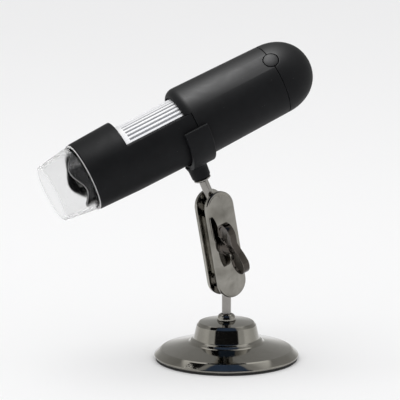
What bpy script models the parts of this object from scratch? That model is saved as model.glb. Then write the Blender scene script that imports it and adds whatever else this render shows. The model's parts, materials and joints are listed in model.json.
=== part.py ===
"""Hand-held digital microscope on a two-ball clamp-arm stand, in metres, +Z up.

The origin is the centre of the foot's underside. The microscope points towards -X, nose down.
Stations along the microscope run from the front edge of its black shell towards the rear dome.
"""

import math

import bmesh
import bpy
from mathutils import Matrix, Vector

# Clearance between neighbouring pieces, and how far a cutter runs past what it cuts
GAP = 0.0003
OVERRUN = 0.002

# Posture of the stand
BODY_PITCH = math.radians(23.85)
ARM_LEAN = math.radians(11.1)
ARM_TURN = math.radians(14.7)
LOWER_BALL_HEIGHT = 0.0356
BALL_SPACING = 0.0356

# Shell of the microscope: stations, radii and walls
FRONT_LENGTH = 0.0198
WINDOW_LENGTH = 0.0317
SLEEVE_LENGTH = 0.0429
DOME_LENGTH = 0.0185
SLEEVE_RADIUS = 0.01682
FRONT_TAPER = 0.00129
WINDOW_TAPER = 0.00055
SEAM_TAPER = 0.00079
TROUGH_STEP = 0.00037
FRONT_WALL = 0.0014
SLEEVE_WALL = 0.0016
EDGE_ROUND = 0.0010
WINDOW_RIM_DROP = 0.00932
DOME_FULLNESS = 2.15
LIP_REACH = 0.0032
LIP_EDGE = 0.0005
LIP_INSET = 0.0002
SLEEVE_EDGE = 0.0004

# Focus wheel
WHEEL_SHARE = 0.7788
WHEEL_WALL = 0.0011
WHEEL_CLEARANCE = 0.0006
WHEEL_HIDDEN_FRONT = 0.0012
WHEEL_HIDDEN_REAR = 0.0125
WHEEL_COLLAR = 0.0042
RIB_COUNT = 40
RIB_DEPTH = 0.0005
RIDGE_SHARE = 0.5
GROOVE_WALL_SHARE = 0.1

# Clear nose
NOSE_REACH = 0.0163
NOSE_KINK_REACH = 0.0075
NOSE_FRONT_INSET = 0.00263
NOSE_KINK_INSET = 0.00143
NOSE_SHOULDER_INSET = 0.00053
NOSE_FLANGE = 0.0009
NOSE_FLANGE_INSET = 0.0002
NOSE_WALL = 0.0011
NOSE_SPIGOT = 0.0060
NOSE_SPIGOT_WALL = 0.0010

# Lamp shroud, its board and the lamps
SHROUD_MARGIN = 0.00043
SHROUD_WALL = 0.0009
SHROUD_REACH = 0.0049
SHROUD_WAVE = 0.0024
SHROUD_LOBES = 4
SHROUD_CREST = math.radians(59)
SHROUD_SHELF_STATION = 0.0044
SHROUD_SHELF_THICKNESS = 0.0010
SHROUD_SHELF_WIDTH = 0.0017
BOARD_THICKNESS = 0.0010
LAMP_COUNT = 8
LAMP_RADIUS = 0.0015
LAMP_RIM = 0.0003
LAMP_LENGTH = 0.0052
LAMP_CIRCLE_SHARE = 0.71

# Core tube, carriage and lens
BULKHEAD_THICKNESS = 0.0018
CORE_FLANGE = 0.0015
CORE_WALL = 0.0011
CORE_TAIL = 0.0052
RETAINER_WIDTH = 0.0010
RETAINER_HEIGHT = 0.0013
LENS_BARREL_SHARE = 0.6854
LENS_BARREL_WALL = 0.0013
LENS_BARREL_START = 0.0070
LENS_BARREL_LENGTH = 0.0290
LENS_EDGE = 0.0012
LENS_BULGE = 0.0007
LENS_SETBACK = 0.0021
LENS_RING_WIDTH = 0.0006
CARRIAGE_START = 0.0260
CARRIAGE_LENGTH = 0.0080
PIN_RADIUS = 0.0006
PIN_DEPTH = 0.0024
FOCUS_TRAVEL = 0.0040

# Rear bulkhead and camera
BULKHEAD_DISC = 0.0016
LEDGE_LENGTH = 0.0050
LEDGE_LAP = 0.0017
CORE_SCREW_COUNT = 3
CORE_SCREW_INSET = 0.00202
CORE_SCREW_TURN = math.radians(52.5)
CORE_SCREW_HEAD_RADIUS = 0.0010
CORE_SCREW_HEAD = 0.0008
CORE_SCREW_RADIUS = 0.0005
CORE_SCREW_LENGTH = 0.0055
SENSOR_WINDOW_SHARE = 0.4906
FILTER_LAP = 0.0006
FILTER_THICKNESS = 0.0007
SENSOR_MARGIN = 0.00053
SENSOR_THICKNESS = 0.0009
SENSOR_BOARD_MARGIN = 0.0010

# Main board, its rails and screws
MAIN_BOARD_SIDE_ROOM = 0.00563
MAIN_BOARD_LENGTH = 0.0215
MAIN_BOARD_DEPTH = 0.00763
MAIN_BOARD_REAR = 0.0042
RAIL_LENGTH = 0.0100
RAIL_THICKNESS = 0.0016
RAIL_LAP = 0.0026
BOARD_SCREW_HEAD_RADIUS = 0.0009
BOARD_SCREW_HEAD = 0.0006
BOARD_SCREW_RADIUS = 0.0004
BOARD_SCREW_INSET = 0.0013

# Snapshot button and its switch, around the seam
BUTTON_TURN = math.radians(43.7)
BUTTON_RADIUS = 0.0033
BUTTON_MARGIN = 0.0004
BUTTON_PROUD = 0.0001
BUTTON_EDGE_DROP = 0.0004
BUTTON_FLANGE_RADIUS = 0.0041
BUTTON_FLANGE = 0.0007
BUTTON_FLANGE_DEPTH = 0.0026
BUTTON_STEM_RADIUS = 0.0015
BUTTON_TRAVEL = 0.0006
SWITCH_SIZE = 0.0060
PLUNGER_RADIUS = 0.0011
PLUNGER_LENGTH = 0.0013
PLUNGER_SHOW = 0.0006

# Cap spigot and cord inlet
CAP_SPIGOT = 0.0034
CAP_SPIGOT_WALL = 0.0011
SEAM_GAP = 0.0003
GLAND_RADIUS = 0.0026
GLAND_BORE_RADIUS = 0.0018
GLAND_LIP_RADIUS = 0.0033
GLAND_LIP = 0.0005
GLAND_FLANGE_RADIUS = 0.0038
GLAND_FLANGE = 0.0008

# Clip holder: a C that reaches a little past the widest place of the shell
CLIP_FRONT = 0.0438
CLIP_WIDTH = 0.0113
CLIP_THICKNESS = 0.0021
CLIP_HALF_OPENING = math.radians(86)
CLIP_EDGE_ROUND = 0.0005
BOSS_STATION = 0.0478
BOSS_RADIUS = 0.0042
BOSS_HEIGHT = 0.0056
BOSS_ROUND = 0.0012
INSERT_RADIUS = 0.0026
INSERT_WALL = 0.0008
INSERT_LENGTH = 0.0055

# Ball studs
BALL_RADIUS = 0.0042
ROD_RADIUS = 0.00205
THREAD_RADIUS = 0.0015
STEM_WASHER_RADIUS = 0.0035
STEM_WASHER = 0.0010
UPPER_ROD_LENGTH = 0.0124

# Clamp arm
PLATE_LENGTH = 0.0492
PLATE_WIDTH = 0.0145
PLATE_THICKNESS = 0.0021
PLATE_ROUND = 0.0007
ARM_THICKNESS = 0.0102
BLOCK_LENGTH = 0.0270
BLOCK_WIDTH = 0.0092
BLOCK_SPLIT = 0.0007
SCREW_ASIDE = 0.0012
SCREW_RADIUS = 0.0019
SCREW_HEAD_RADIUS = 0.0037
SCREW_HEAD = 0.0020
SCREW_HEAD_ROUND = 0.0008
SCREW_END = 0.0012
CLAMP_WASHER_RADIUS = 0.0039
CLAMP_WASHER = 0.0007

# Wing nut
NUT_TURN = math.radians(19)
NUT_HUB_RADIUS = 0.0038
NUT_HUB_HEIGHT = 0.0056
NUT_HUB_TAPER = 0.0006
WING_THICKNESS = 0.0021
WING_LOBE_RADIUS = 0.0047
WING_LOBE_OUT = 0.0082
WING_LOBE_UP = 0.0046
WING_ROUND = 0.0005

# Foot: hub, cone, rim, pad, ballast and nut
BASE_RADIUS = 0.0325
PAD_INSET = 0.0008
PAD_THICKNESS = 0.0009
RIM_RING_INSET = 0.0030
RIM_RING_HEIGHT = 0.0047
RIM_WIDEST_HEIGHT = 0.0022
HUB_FOOT_HEIGHT = 0.0079
HUB_FOOT_RADIUS = 0.0148
HUB_FOOT_FILLET = 0.0020
HUB_TOP_HEIGHT = 0.0170
HUB_CROWN = 0.0006
HUB_SHOULDER_RADIUS = 0.0130
HUB_SHOULDER_ROUND = 0.0020
HUB_SEAT_RADIUS = 0.0046
BASE_WALL = 0.0012
BASE_COLLAR_RADIUS = 0.0042
BASE_COLLAR_HEIGHT = 0.0027
NUT_FLATS = 0.0062
NUT_HEIGHT = 0.0028
STUD_TAIL = 0.0012
WEIGHT_HOLE_RADIUS = 0.0080
WEIGHT_INSET = 0.0075
WEIGHT_THICKNESS = 0.0019

# How finely round pieces are divided
BODY_SIDES = 36
BASE_SIDES = 44
SHROUD_SIDES = 40
INNER_SIDES = 24
MEDIUM_SIDES = 20
SMALL_SIDES = 10
LAMP_SIDES = 8
ARC_STEPS = 3
BALL_STEPS = 9
SMOOTH_ANGLE = math.radians(32)

# Values that follow from the sizes above
FRONT_RADIUS = SLEEVE_RADIUS - FRONT_TAPER
WINDOW_RADIUS = SLEEVE_RADIUS - WINDOW_TAPER
SEAM_RADIUS = SLEEVE_RADIUS - SEAM_TAPER
WINDOW_RIM_HEIGHT = SLEEVE_RADIUS - WINDOW_RIM_DROP
WHEEL_RADIUS = SLEEVE_RADIUS * WHEEL_SHARE
NOSE_FRONT_RADIUS = FRONT_RADIUS - NOSE_FRONT_INSET
NOSE_KINK_RADIUS = FRONT_RADIUS - NOSE_KINK_INSET
NOSE_SHOULDER_RADIUS = FRONT_RADIUS - NOSE_SHOULDER_INSET
SLEEVE_START = FRONT_LENGTH + WINDOW_LENGTH
SEAM_STATION = SLEEVE_START + SLEEVE_LENGTH
NOSE_BORE_RADIUS = FRONT_RADIUS - FRONT_WALL
SHROUD_RADIUS = NOSE_BORE_RADIUS - GAP - NOSE_SPIGOT_WALL - SHROUD_MARGIN
LAMP_CIRCLE_RADIUS = SHROUD_RADIUS * LAMP_CIRCLE_SHARE
LENS_BARREL_RADIUS = LAMP_CIRCLE_RADIUS * LENS_BARREL_SHARE
WHEEL_BORE_RADIUS = WHEEL_RADIUS + WHEEL_CLEARANCE
WHEEL_START = FRONT_LENGTH - WHEEL_HIDDEN_FRONT
WHEEL_END = SLEEVE_START + WHEEL_HIDDEN_REAR
SLEEVE_BORE_RADIUS = SEAM_RADIUS - SLEEVE_WALL
BULKHEAD_REAR = WHEEL_START - GAP
BULKHEAD_FRONT = BULKHEAD_REAR - BULKHEAD_THICKNESS
CORE_START = BULKHEAD_FRONT - GAP - CORE_FLANGE
CORE_RADIUS = WHEEL_RADIUS - WHEEL_WALL - GAP
CORE_BORE_RADIUS = CORE_RADIUS - CORE_WALL
CORE_END = WHEEL_END + CORE_TAIL
SENSOR_WINDOW_RADIUS = CORE_BORE_RADIUS * SENSOR_WINDOW_SHARE
SENSOR_SIZE = math.sqrt(2) * (SENSOR_WINDOW_RADIUS - SENSOR_MARGIN)
CORE_SCREW_CIRCLE = SLEEVE_RADIUS - SLEEVE_WALL - CORE_SCREW_INSET
LEDGE_RADIUS = CORE_SCREW_CIRCLE - LEDGE_LAP
SENSOR_BOARD_RADIUS = LEDGE_RADIUS - SENSOR_BOARD_MARGIN
DISC_START = CORE_END + GAP
DISC_END = DISC_START + BULKHEAD_DISC
LEDGE_START = DISC_END + GAP
SHROUD_REAR = CORE_START - GAP
LED_BOARD_REAR = SHROUD_SHELF_STATION - GAP
LED_BOARD_FRONT = LED_BOARD_REAR - BOARD_THICKNESS
CLIP_BORE_RADIUS = SLEEVE_RADIUS + GAP
CLIP_RADIUS = CLIP_BORE_RADIUS + CLIP_THICKNESS
BOSS_END = CLIP_RADIUS + BOSS_HEIGHT
WASHER_NEAR = BOSS_END + GAP
WASHER_FAR = WASHER_NEAR + STEM_WASHER
ROD_SHOULDER = WASHER_FAR + GAP
BALL_TO_AXIS = ROD_SHOULDER + UPPER_ROD_LENGTH
PLATE_INNER = ARM_THICKNESS / 2 - PLATE_THICKNESS
PLATE_OUTER = ARM_THICKNESS / 2
HUB_SEAT_HEIGHT = HUB_TOP_HEIGHT + HUB_CROWN
COLLAR_BOTTOM = HUB_SEAT_HEIGHT + GAP
SHELL_BOTTOM = PAD_THICKNESS + GAP
PAD_RADIUS = BASE_RADIUS - PAD_INSET
RIM_RING_RADIUS = BASE_RADIUS - RIM_RING_INSET
WEIGHT_RADIUS = BASE_RADIUS - WEIGHT_INSET
BUTTON_TOP = SEAM_RADIUS + BUTTON_PROUD
BUTTON_FLANGE_TOP = BUTTON_TOP - BUTTON_FLANGE_DEPTH
BUTTON_FLANGE_BOTTOM = BUTTON_FLANGE_TOP - BUTTON_FLANGE
MAIN_BOARD_WIDTH = 2 * (SLEEVE_BORE_RADIUS - MAIN_BOARD_SIDE_ROOM)
MAIN_BOARD_RADIAL = SLEEVE_BORE_RADIUS - MAIN_BOARD_DEPTH
MAIN_BOARD_TOP = MAIN_BOARD_RADIAL + BOARD_THICKNESS
SWITCH_BOTTOM = MAIN_BOARD_TOP + GAP
MAIN_BOARD_END = SEAM_STATION + MAIN_BOARD_REAR
MAIN_BOARD_START = MAIN_BOARD_END - MAIN_BOARD_LENGTH


def clear_scene():
    for obj in list(bpy.data.objects):
        bpy.data.objects.remove(obj)


def make_finish(name, colour, roughness, metallic=0.0, transmission=0.0):
    finish = bpy.data.materials.new(name)
    finish.use_nodes = True
    shader = finish.node_tree.nodes["Principled BSDF"]
    shader.inputs["Base Color"].default_value = (*colour, 1)
    shader.inputs["Roughness"].default_value = roughness
    shader.inputs["Metallic"].default_value = metallic
    shader.inputs["Transmission Weight"].default_value = transmission
    finish.diffuse_color = (*colour, 1)
    return finish


def make_empty(name, location, rotation, parent=None):
    empty = bpy.data.objects.new(name, None)
    bpy.context.scene.collection.objects.link(empty)
    empty.parent = parent
    empty.location = location
    empty.rotation_euler = rotation
    empty.empty_display_size = BALL_RADIUS
    return empty


def add_object(name, bm, finish=None, parent=None, location=(0, 0, 0), rotation=(0, 0, 0)):
    """Closes the mesh's normals outward and puts it into the scene."""
    bmesh.ops.recalc_face_normals(bm, faces=bm.faces)
    if bm.calc_volume(signed=True) < 0:
        bmesh.ops.reverse_faces(bm, faces=bm.faces)
    mesh = bpy.data.meshes.new(name)
    bm.to_mesh(mesh)
    bm.free()
    mesh.shade_smooth()
    mesh.set_sharp_from_angle(angle=SMOOTH_ANGLE)
    obj = bpy.data.objects.new(name, mesh)
    bpy.context.scene.collection.objects.link(obj)
    obj.parent = parent
    obj.location = location
    obj.rotation_euler = rotation
    if finish:
        mesh.materials.append(finish)
    else:
        obj.hide_render = True
        obj.display_type = "WIRE"
    return obj


def add_copies(name, bm, finish, parent, places, rotation=(0, 0, 0)):
    """The same piece at several places, each its own object with the one mesh."""
    first = add_object(f"{name}_1", bm, finish, parent, places[0], rotation)
    for number, place in enumerate(places[1:], 2):
        obj = bpy.data.objects.new(f"{name}_{number}", first.data)
        bpy.context.scene.collection.objects.link(obj)
        obj.parent = parent
        obj.location = place
        obj.rotation_euler = rotation


def circle_places(count, radius, start):
    turns = [start + math.tau * number / count for number in range(count)]
    return [(radius * math.cos(turn), radius * math.sin(turn), 0) for turn in turns]


def combine(obj, other, operation="DIFFERENCE"):
    """Adds a Boolean with a hidden helper, which stays in the scene as a wire."""
    modifier = obj.modifiers.new(other.name, "BOOLEAN")
    modifier.operation = operation
    modifier.object = other
    modifier.solver = "EXACT"


def arc(radius, height, size, start, end, steps=ARC_STEPS):
    """Points of an arc round (radius, height), with both ends."""
    points = []
    for step in range(steps + 1):
        angle = math.radians(start + (end - start) * step / steps)
        points.append((radius + size * math.cos(angle), height + size * math.sin(angle)))
    return points


def turned(outline, sides=BODY_SIDES):
    """A solid of revolution about Z. An outline that starts and ends on the axis is left open there."""
    bm = bmesh.new()
    verts = [bm.verts.new((radius, 0, height)) for radius, height in outline]
    edges = [bm.edges.new(pair) for pair in zip(verts, verts[1:])]
    if outline[0][0] > 0 or outline[-1][0] > 0:
        edges.append(bm.edges.new((verts[-1], verts[0])))
    axis = Vector((0, 0, 1))
    bmesh.ops.spin(bm, geom=verts + edges, axis=axis, angle=math.tau, steps=sides, use_merge=True)
    bmesh.ops.remove_doubles(bm, verts=bm.verts, dist=GAP / sides)
    return bm


def swept(outline, start, end, steps):
    """A closed outline swept about Z through part of a turn, with both ends closed."""
    bm = bmesh.new()
    verts = [bm.verts.new((radius, 0, height)) for radius, height in outline]
    face = bm.faces.new(verts)
    bmesh.ops.rotate(bm, verts=verts, matrix=Matrix.Rotation(start, 3, "Z"))
    geometry = verts + list(face.edges) + [face]
    bmesh.ops.spin(bm, geom=geometry, axis=Vector((0, 0, 1)), angle=end - start, steps=steps)
    return bm


def block(size, centre=(0, 0, 0)):
    bm = bmesh.new()
    bmesh.ops.create_cube(bm, size=1)
    bmesh.ops.scale(bm, vec=size, verts=bm.verts)
    bmesh.ops.translate(bm, vec=centre, verts=bm.verts)
    return bm


def plate(outline, low, high):
    """A flat outline in X and Z, given thickness along Y."""
    bm = bmesh.new()
    face = bm.faces.new([bm.verts.new((x, low, z)) for x, z in outline])
    made = bmesh.ops.extrude_face_region(bm, geom=[face])["geom"]
    moved = [item for item in made if isinstance(item, bmesh.types.BMVert)]
    bmesh.ops.translate(bm, vec=(0, high - low, 0), verts=moved)
    return bm


def stadium(length, width, steps):
    """Outline with two half-round ends, long way along Z."""
    reach = (length - width) / 2
    outline = []
    for centre, start in ((reach, 0), (-reach, math.pi)):
        for step in range(steps + 1):
            angle = start + math.pi * step / steps
            outline.append((width / 2 * math.cos(angle), centre + width / 2 * math.sin(angle)))
    return outline


def pin_outline(radius, low, high):
    return [(0, low), (radius, low), (radius, high), (0, high)]


def drill(name, radius, low, high, parent, location=(0, 0, 0), rotation=(0, 0, 0)):
    """A hidden round cutter along its own Z, for a small hole."""
    bm = turned(pin_outline(radius, low, high), SMALL_SIDES)
    return add_object(name, bm, None, parent, location, rotation)


def ring_outline(inner, outer, low, high):
    return [(inner, low), (outer, low), (outer, high), (inner, high)]


def shell_radius(station):
    """Outer radius of the black shell: it swells to the sleeve's front edge and narrows to the seam."""
    if station < FRONT_LENGTH:
        return FRONT_RADIUS + (WINDOW_RADIUS - FRONT_RADIUS) * station / FRONT_LENGTH
    if station < SLEEVE_START:
        share = (station - FRONT_LENGTH) / WINDOW_LENGTH
        return WINDOW_RADIUS + (SLEEVE_RADIUS - TROUGH_STEP - WINDOW_RADIUS) * share
    return SLEEVE_RADIUS + (SEAM_RADIUS - SLEEVE_RADIUS) * (station - SLEEVE_START) / SLEEVE_LENGTH


def dome_point(angle, shrink=0.0):
    """Point of the dome's section, from the seam at 0 to the tip at a right angle."""
    radius = (SEAM_RADIUS - shrink) * math.cos(angle) ** (2 / DOME_FULLNESS)
    reach = (DOME_LENGTH - shrink) * math.sin(angle) ** (2 / DOME_FULLNESS)
    return radius, SEAM_STATION + reach


def dome_station(radius, shrink=0.0):
    """How far back the dome's skin lies at a radius from the axis."""
    share = 1 - (radius / (SEAM_RADIUS - shrink)) ** DOME_FULLNESS
    return SEAM_STATION + (DOME_LENGTH - shrink) * share ** (1 / DOME_FULLNESS)


def button_frame_matrix():
    """Places along Z what is drawn upright under the snapshot button."""
    outward = Vector((math.cos(BUTTON_TURN), math.sin(BUTTON_TURN), 0))
    return outward.to_track_quat("Z", "Y").to_euler()


def make_front_barrel(scope, finish):
    rear = SLEEVE_START - GAP
    rear_radius = shell_radius(rear)
    outline = [
        (NOSE_BORE_RADIUS, 0),
        (FRONT_RADIUS, 0),
        (WINDOW_RADIUS, FRONT_LENGTH),
        (rear_radius, rear),
        (WHEEL_BORE_RADIUS, rear),
        (WHEEL_BORE_RADIUS, BULKHEAD_REAR),
        (CORE_RADIUS + GAP, BULKHEAD_REAR),
        (CORE_RADIUS + GAP, BULKHEAD_FRONT),
        (NOSE_BORE_RADIUS, BULKHEAD_FRONT),
    ]
    barrel = add_object("front_barrel", turned(outline), finish, scope)
    # The window over the wheel is cut down to the rims, with its front edge rounded over
    beyond = rear_radius + OVERRUN
    edge = arc(WINDOW_RADIUS - EDGE_ROUND, FRONT_LENGTH - EDGE_ROUND, EDGE_ROUND, 90, 0)
    window = [(0, FRONT_LENGTH)] + edge + [(beyond, FRONT_LENGTH - EDGE_ROUND)]
    window += [(beyond, SLEEVE_START + OVERRUN), (0, SLEEVE_START + OVERRUN)]
    cutter = add_object("window_cutter", turned(window), None, scope)
    height = beyond - WINDOW_RIM_HEIGHT
    depth = SLEEVE_START + OVERRUN
    centre = (WINDOW_RIM_HEIGHT + height / 2, 0, depth / 2)
    half = add_object("window_limit", block((height, 2 * beyond, 2 * depth), centre), None, scope)
    combine(cutter, half, "INTERSECT")
    combine(barrel, cutter)


def make_rear_sleeve(scope, finish):
    rear = SEAM_STATION - SEAM_GAP / 2
    face = SLEEVE_START
    flange = SLEEVE_START + FRONT_WALL
    ledge_end = LEDGE_START + LEDGE_LENGTH
    inside = SLEEVE_RADIUS - SLEEVE_WALL
    outline = [
        (WHEEL_BORE_RADIUS, face),
        (SLEEVE_RADIUS - SLEEVE_EDGE, face),
        (SLEEVE_RADIUS, face + SLEEVE_EDGE),
        (SEAM_RADIUS, rear),
        (SLEEVE_BORE_RADIUS, rear),
        (SLEEVE_BORE_RADIUS, ledge_end),
        (LEDGE_RADIUS, ledge_end),
        (LEDGE_RADIUS, LEDGE_START),
        (inside, LEDGE_START),
        (inside, flange),
        (WHEEL_BORE_RADIUS, flange),
    ]
    sleeve = add_object("rear_sleeve", turned(outline), finish, scope)
    combine(sleeve, make_lip(scope), "UNION")
    for rail in make_rails(scope):
        combine(sleeve, rail, "UNION")
    hole_end = LEDGE_START + CORE_SCREW_LENGTH
    for hole in make_core_screw_holes(scope, "ledge_hole", LEDGE_START - GAP, hole_end):
        combine(sleeve, hole)
    combine(sleeve, button_cutter(scope, "sleeve_button_hole"))


def make_lip(scope):
    """Rounded lip at the sleeve's front, which bridges the window between the barrel's two rims."""
    deep = SLEEVE_START + FRONT_WALL / 2
    inner = WHEEL_BORE_RADIUS + LIP_INSET
    height = SLEEVE_RADIUS - SLEEVE_EDGE - LIP_INSET - inner
    outline = [(inner, deep)]
    for step in range(ARC_STEPS + 1):
        turn = math.pi / 2 * step / ARC_STEPS
        reach = LIP_EDGE + (LIP_REACH - LIP_EDGE) * math.cos(turn)
        outline.append((inner + height * math.sin(turn), SLEEVE_START - reach))
    outline.append((inner + height, deep))
    lip = add_object("sleeve_lip", turned(outline), None, scope)
    low = WINDOW_RIM_HEIGHT + GAP
    size = (SLEEVE_RADIUS, 2 * SLEEVE_RADIUS + OVERRUN, 2 * LIP_REACH + OVERRUN)
    centre = (low + SLEEVE_RADIUS / 2, 0, SLEEVE_START)
    half = add_object("lip_limit", block(size, centre), None, scope)
    combine(lip, half, "INTERSECT")
    return lip


def rail_side(side):
    """Middle of a rail across the board: it runs from under the board's edge into the sleeve's wall."""
    middle = MAIN_BOARD_RADIAL - GAP - RAIL_THICKNESS / 2
    wall = SLEEVE_BORE_RADIUS + SLEEVE_WALL / 2
    outer = math.sqrt(wall**2 - middle**2)
    inner = MAIN_BOARD_WIDTH / 2 - RAIL_LAP
    return side * (outer + inner) / 2, outer - inner, middle


def make_rails(scope):
    rails = []
    for number, side in enumerate((-1, 1)):
        across, width, radial = rail_side(side)
        start = MAIN_BOARD_START + GAP
        size = (RAIL_THICKNESS, width, RAIL_LENGTH)
        centre = (radial, across, start + RAIL_LENGTH / 2)
        rail = add_object(f"rail_{number}", block(size, centre), None, scope, rotation=(0, 0, BUTTON_TURN))
        across = side * (MAIN_BOARD_WIDTH / 2 - BOARD_SCREW_INSET)
        combine(rail, board_screw_hole(scope, f"rail_hole_{number}", across))
        rails.append(rail)
    return rails


def board_screw_station():
    return MAIN_BOARD_START + GAP + RAIL_LENGTH / 2


def turned_place(across, radial, station):
    """Turns a place drawn upright by the button's angle about the microscope's axis."""
    place = Vector((radial, across, station))
    place.rotate(Matrix.Rotation(BUTTON_TURN, 3, "Z"))
    return place


def board_screw_hole(scope, name, across):
    place = turned_place(across, 0, board_screw_station())
    low = MAIN_BOARD_RADIAL - RAIL_THICKNESS - OVERRUN
    radius = BOARD_SCREW_RADIUS + GAP
    return drill(name, radius, low, MAIN_BOARD_TOP + OVERRUN, scope, place, button_frame_matrix())


def make_core_screw_holes(scope, name, low, high):
    places = circle_places(CORE_SCREW_COUNT, CORE_SCREW_CIRCLE, CORE_SCREW_TURN)
    radius = CORE_SCREW_RADIUS + GAP
    holes = []
    for number, place in enumerate(places):
        holes.append(drill(f"{name}_{number}", radius, low, high, scope, place))
    return holes


def button_cutter(scope, name):
    """Round hole through the shell, wider inside for the button's flange."""
    hole = BUTTON_RADIUS + BUTTON_MARGIN
    wide = BUTTON_FLANGE_RADIUS + GAP
    step = SLEEVE_BORE_RADIUS
    outline = [(0, SWITCH_BOTTOM), (wide, SWITCH_BOTTOM), (wide, step), (hole, step)]
    outline += [(hole, BUTTON_TOP + OVERRUN), (0, BUTTON_TOP + OVERRUN)]
    place = (0, 0, SEAM_STATION)
    return add_object(name, turned(outline, MEDIUM_SIDES), None, scope, place, button_frame_matrix())


def make_end_cap(scope, finish):
    front = SEAM_STATION + SEAM_GAP / 2
    hole = GLAND_RADIUS + GAP
    steps = 2 * ARC_STEPS
    turns = [math.pi / 2 * step / steps for step in range(1, steps)]
    outer = [dome_point(turn) for turn in turns]
    inner = [dome_point(turn, SLEEVE_WALL) for turn in reversed(turns)]
    spigot_outer = SLEEVE_BORE_RADIUS - GAP
    spigot_inner = spigot_outer - CAP_SPIGOT_WALL
    outline = [(SEAM_RADIUS, front)]
    outline += [point for point in outer if point[0] > hole]
    outline += [(hole, dome_station(hole)), (hole, dome_station(hole, SLEEVE_WALL))]
    outline += [point for point in inner if point[0] > hole]
    outline += [
        (spigot_inner, SEAM_STATION),
        (spigot_inner, SEAM_STATION - CAP_SPIGOT),
        (spigot_outer, SEAM_STATION - CAP_SPIGOT),
        (spigot_outer, front),
    ]
    cap = add_object("end_cap", turned(outline), finish, scope)
    combine(cap, button_cutter(scope, "cap_button_hole"))


def make_nose_cap(scope, finish):
    spigot = NOSE_BORE_RADIUS - GAP
    bore = spigot - NOSE_SPIGOT_WALL
    flange_rear = -GAP
    flange_front = -GAP - NOSE_FLANGE
    flange = FRONT_RADIUS - NOSE_FLANGE_INSET
    outline = [
        (spigot, NOSE_SPIGOT),
        (spigot, flange_rear),
        (flange, flange_rear),
        (flange, flange_front),
        (NOSE_SHOULDER_RADIUS, flange_front),
        (NOSE_KINK_RADIUS, -NOSE_KINK_REACH),
        (NOSE_FRONT_RADIUS, -NOSE_REACH),
        (NOSE_FRONT_RADIUS - NOSE_WALL, -NOSE_REACH),
        (NOSE_KINK_RADIUS - NOSE_WALL, -NOSE_KINK_REACH),
        (bore, flange_front - NOSE_WALL),
        (bore, NOSE_SPIGOT),
    ]
    add_object("nose_cap", turned(outline), finish, scope)


def make_lamp_shroud(scope, finish):
    inside = SHROUD_RADIUS - SHROUD_WALL
    shelf_front = SHROUD_SHELF_STATION
    shelf_rear = shelf_front + SHROUD_SHELF_THICKNESS
    outline = [
        (inside, -SHROUD_REACH),
        (SHROUD_RADIUS, -SHROUD_REACH),
        (SHROUD_RADIUS, SHROUD_REAR),
        (inside, SHROUD_REAR),
        (inside, shelf_rear),
        (inside - SHROUD_SHELF_WIDTH, shelf_rear),
        (inside - SHROUD_SHELF_WIDTH, shelf_front),
        (inside, shelf_front),
    ]
    bm = turned(outline, SHROUD_SIDES)
    for vert in bm.verts:
        if vert.co.z < -SHROUD_REACH / 2:
            angle = math.atan2(vert.co.y, vert.co.x)
            vert.co.z -= SHROUD_WAVE * math.cos(SHROUD_LOBES * (angle - SHROUD_CREST))
    add_object("lamp_shroud", bm, finish, scope)


def make_lamps(scope, board_finish, lamp_finish):
    outer = SHROUD_RADIUS - SHROUD_WALL - GAP
    inner = LENS_BARREL_RADIUS + 2 * GAP
    outline = ring_outline(inner, outer, LED_BOARD_FRONT, LED_BOARD_REAR)
    add_object("led_board", turned(outline, INNER_SIDES), board_finish, scope)
    # Each lamp is a rimmed cylinder with a round front
    seat = LED_BOARD_FRONT - GAP
    neck = seat - LAMP_LENGTH + LAMP_RADIUS
    rim = LAMP_RADIUS + LAMP_RIM
    lamp = arc(0, neck, LAMP_RADIUS, -90, 0, 3)
    lamp[0] = (0, neck - LAMP_RADIUS)
    lamp += [(LAMP_RADIUS, seat - 2 * LAMP_RIM), (rim, seat - 2 * LAMP_RIM), (rim, seat), (0, seat)]
    places = circle_places(LAMP_COUNT, LAMP_CIRCLE_RADIUS, SHROUD_CREST)
    add_copies("white_led", turned(lamp, LAMP_SIDES), lamp_finish, scope, places)


def make_focus_wheel(wheel, finish):
    """Ribbed tube: each long facet has a groove pressed into it, and the front collar stays plain."""
    inner = WHEEL_RADIUS - WHEEL_WALL
    collar_end = WHEEL_START + WHEEL_COLLAR
    outline = [
        (inner, WHEEL_START),
        (WHEEL_RADIUS, WHEEL_START),
        (WHEEL_RADIUS, collar_end),
        (WHEEL_RADIUS, WHEEL_END),
        (inner, WHEEL_END),
    ]
    bm = turned(outline, RIB_COUNT)
    bmesh.ops.recalc_face_normals(bm, faces=bm.faces)
    facets = []
    for face in bm.faces:
        outside = min(math.hypot(vert.co.x, vert.co.y) for vert in face.verts) > inner + RIB_DEPTH
        if outside and face.calc_center_median().z > collar_end:
            facets.append(face)
    facet_width = math.tau * WHEEL_RADIUS / RIB_COUNT
    ridge = facet_width * RIDGE_SHARE / 2
    bmesh.ops.inset_individual(bm, faces=facets, thickness=ridge, use_even_offset=True)
    wall = facet_width * GROOVE_WALL_SHARE
    bmesh.ops.inset_individual(bm, faces=facets, thickness=wall, depth=-RIB_DEPTH, use_even_offset=True)
    add_object("focus_wheel", bm, finish, wheel)


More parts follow.
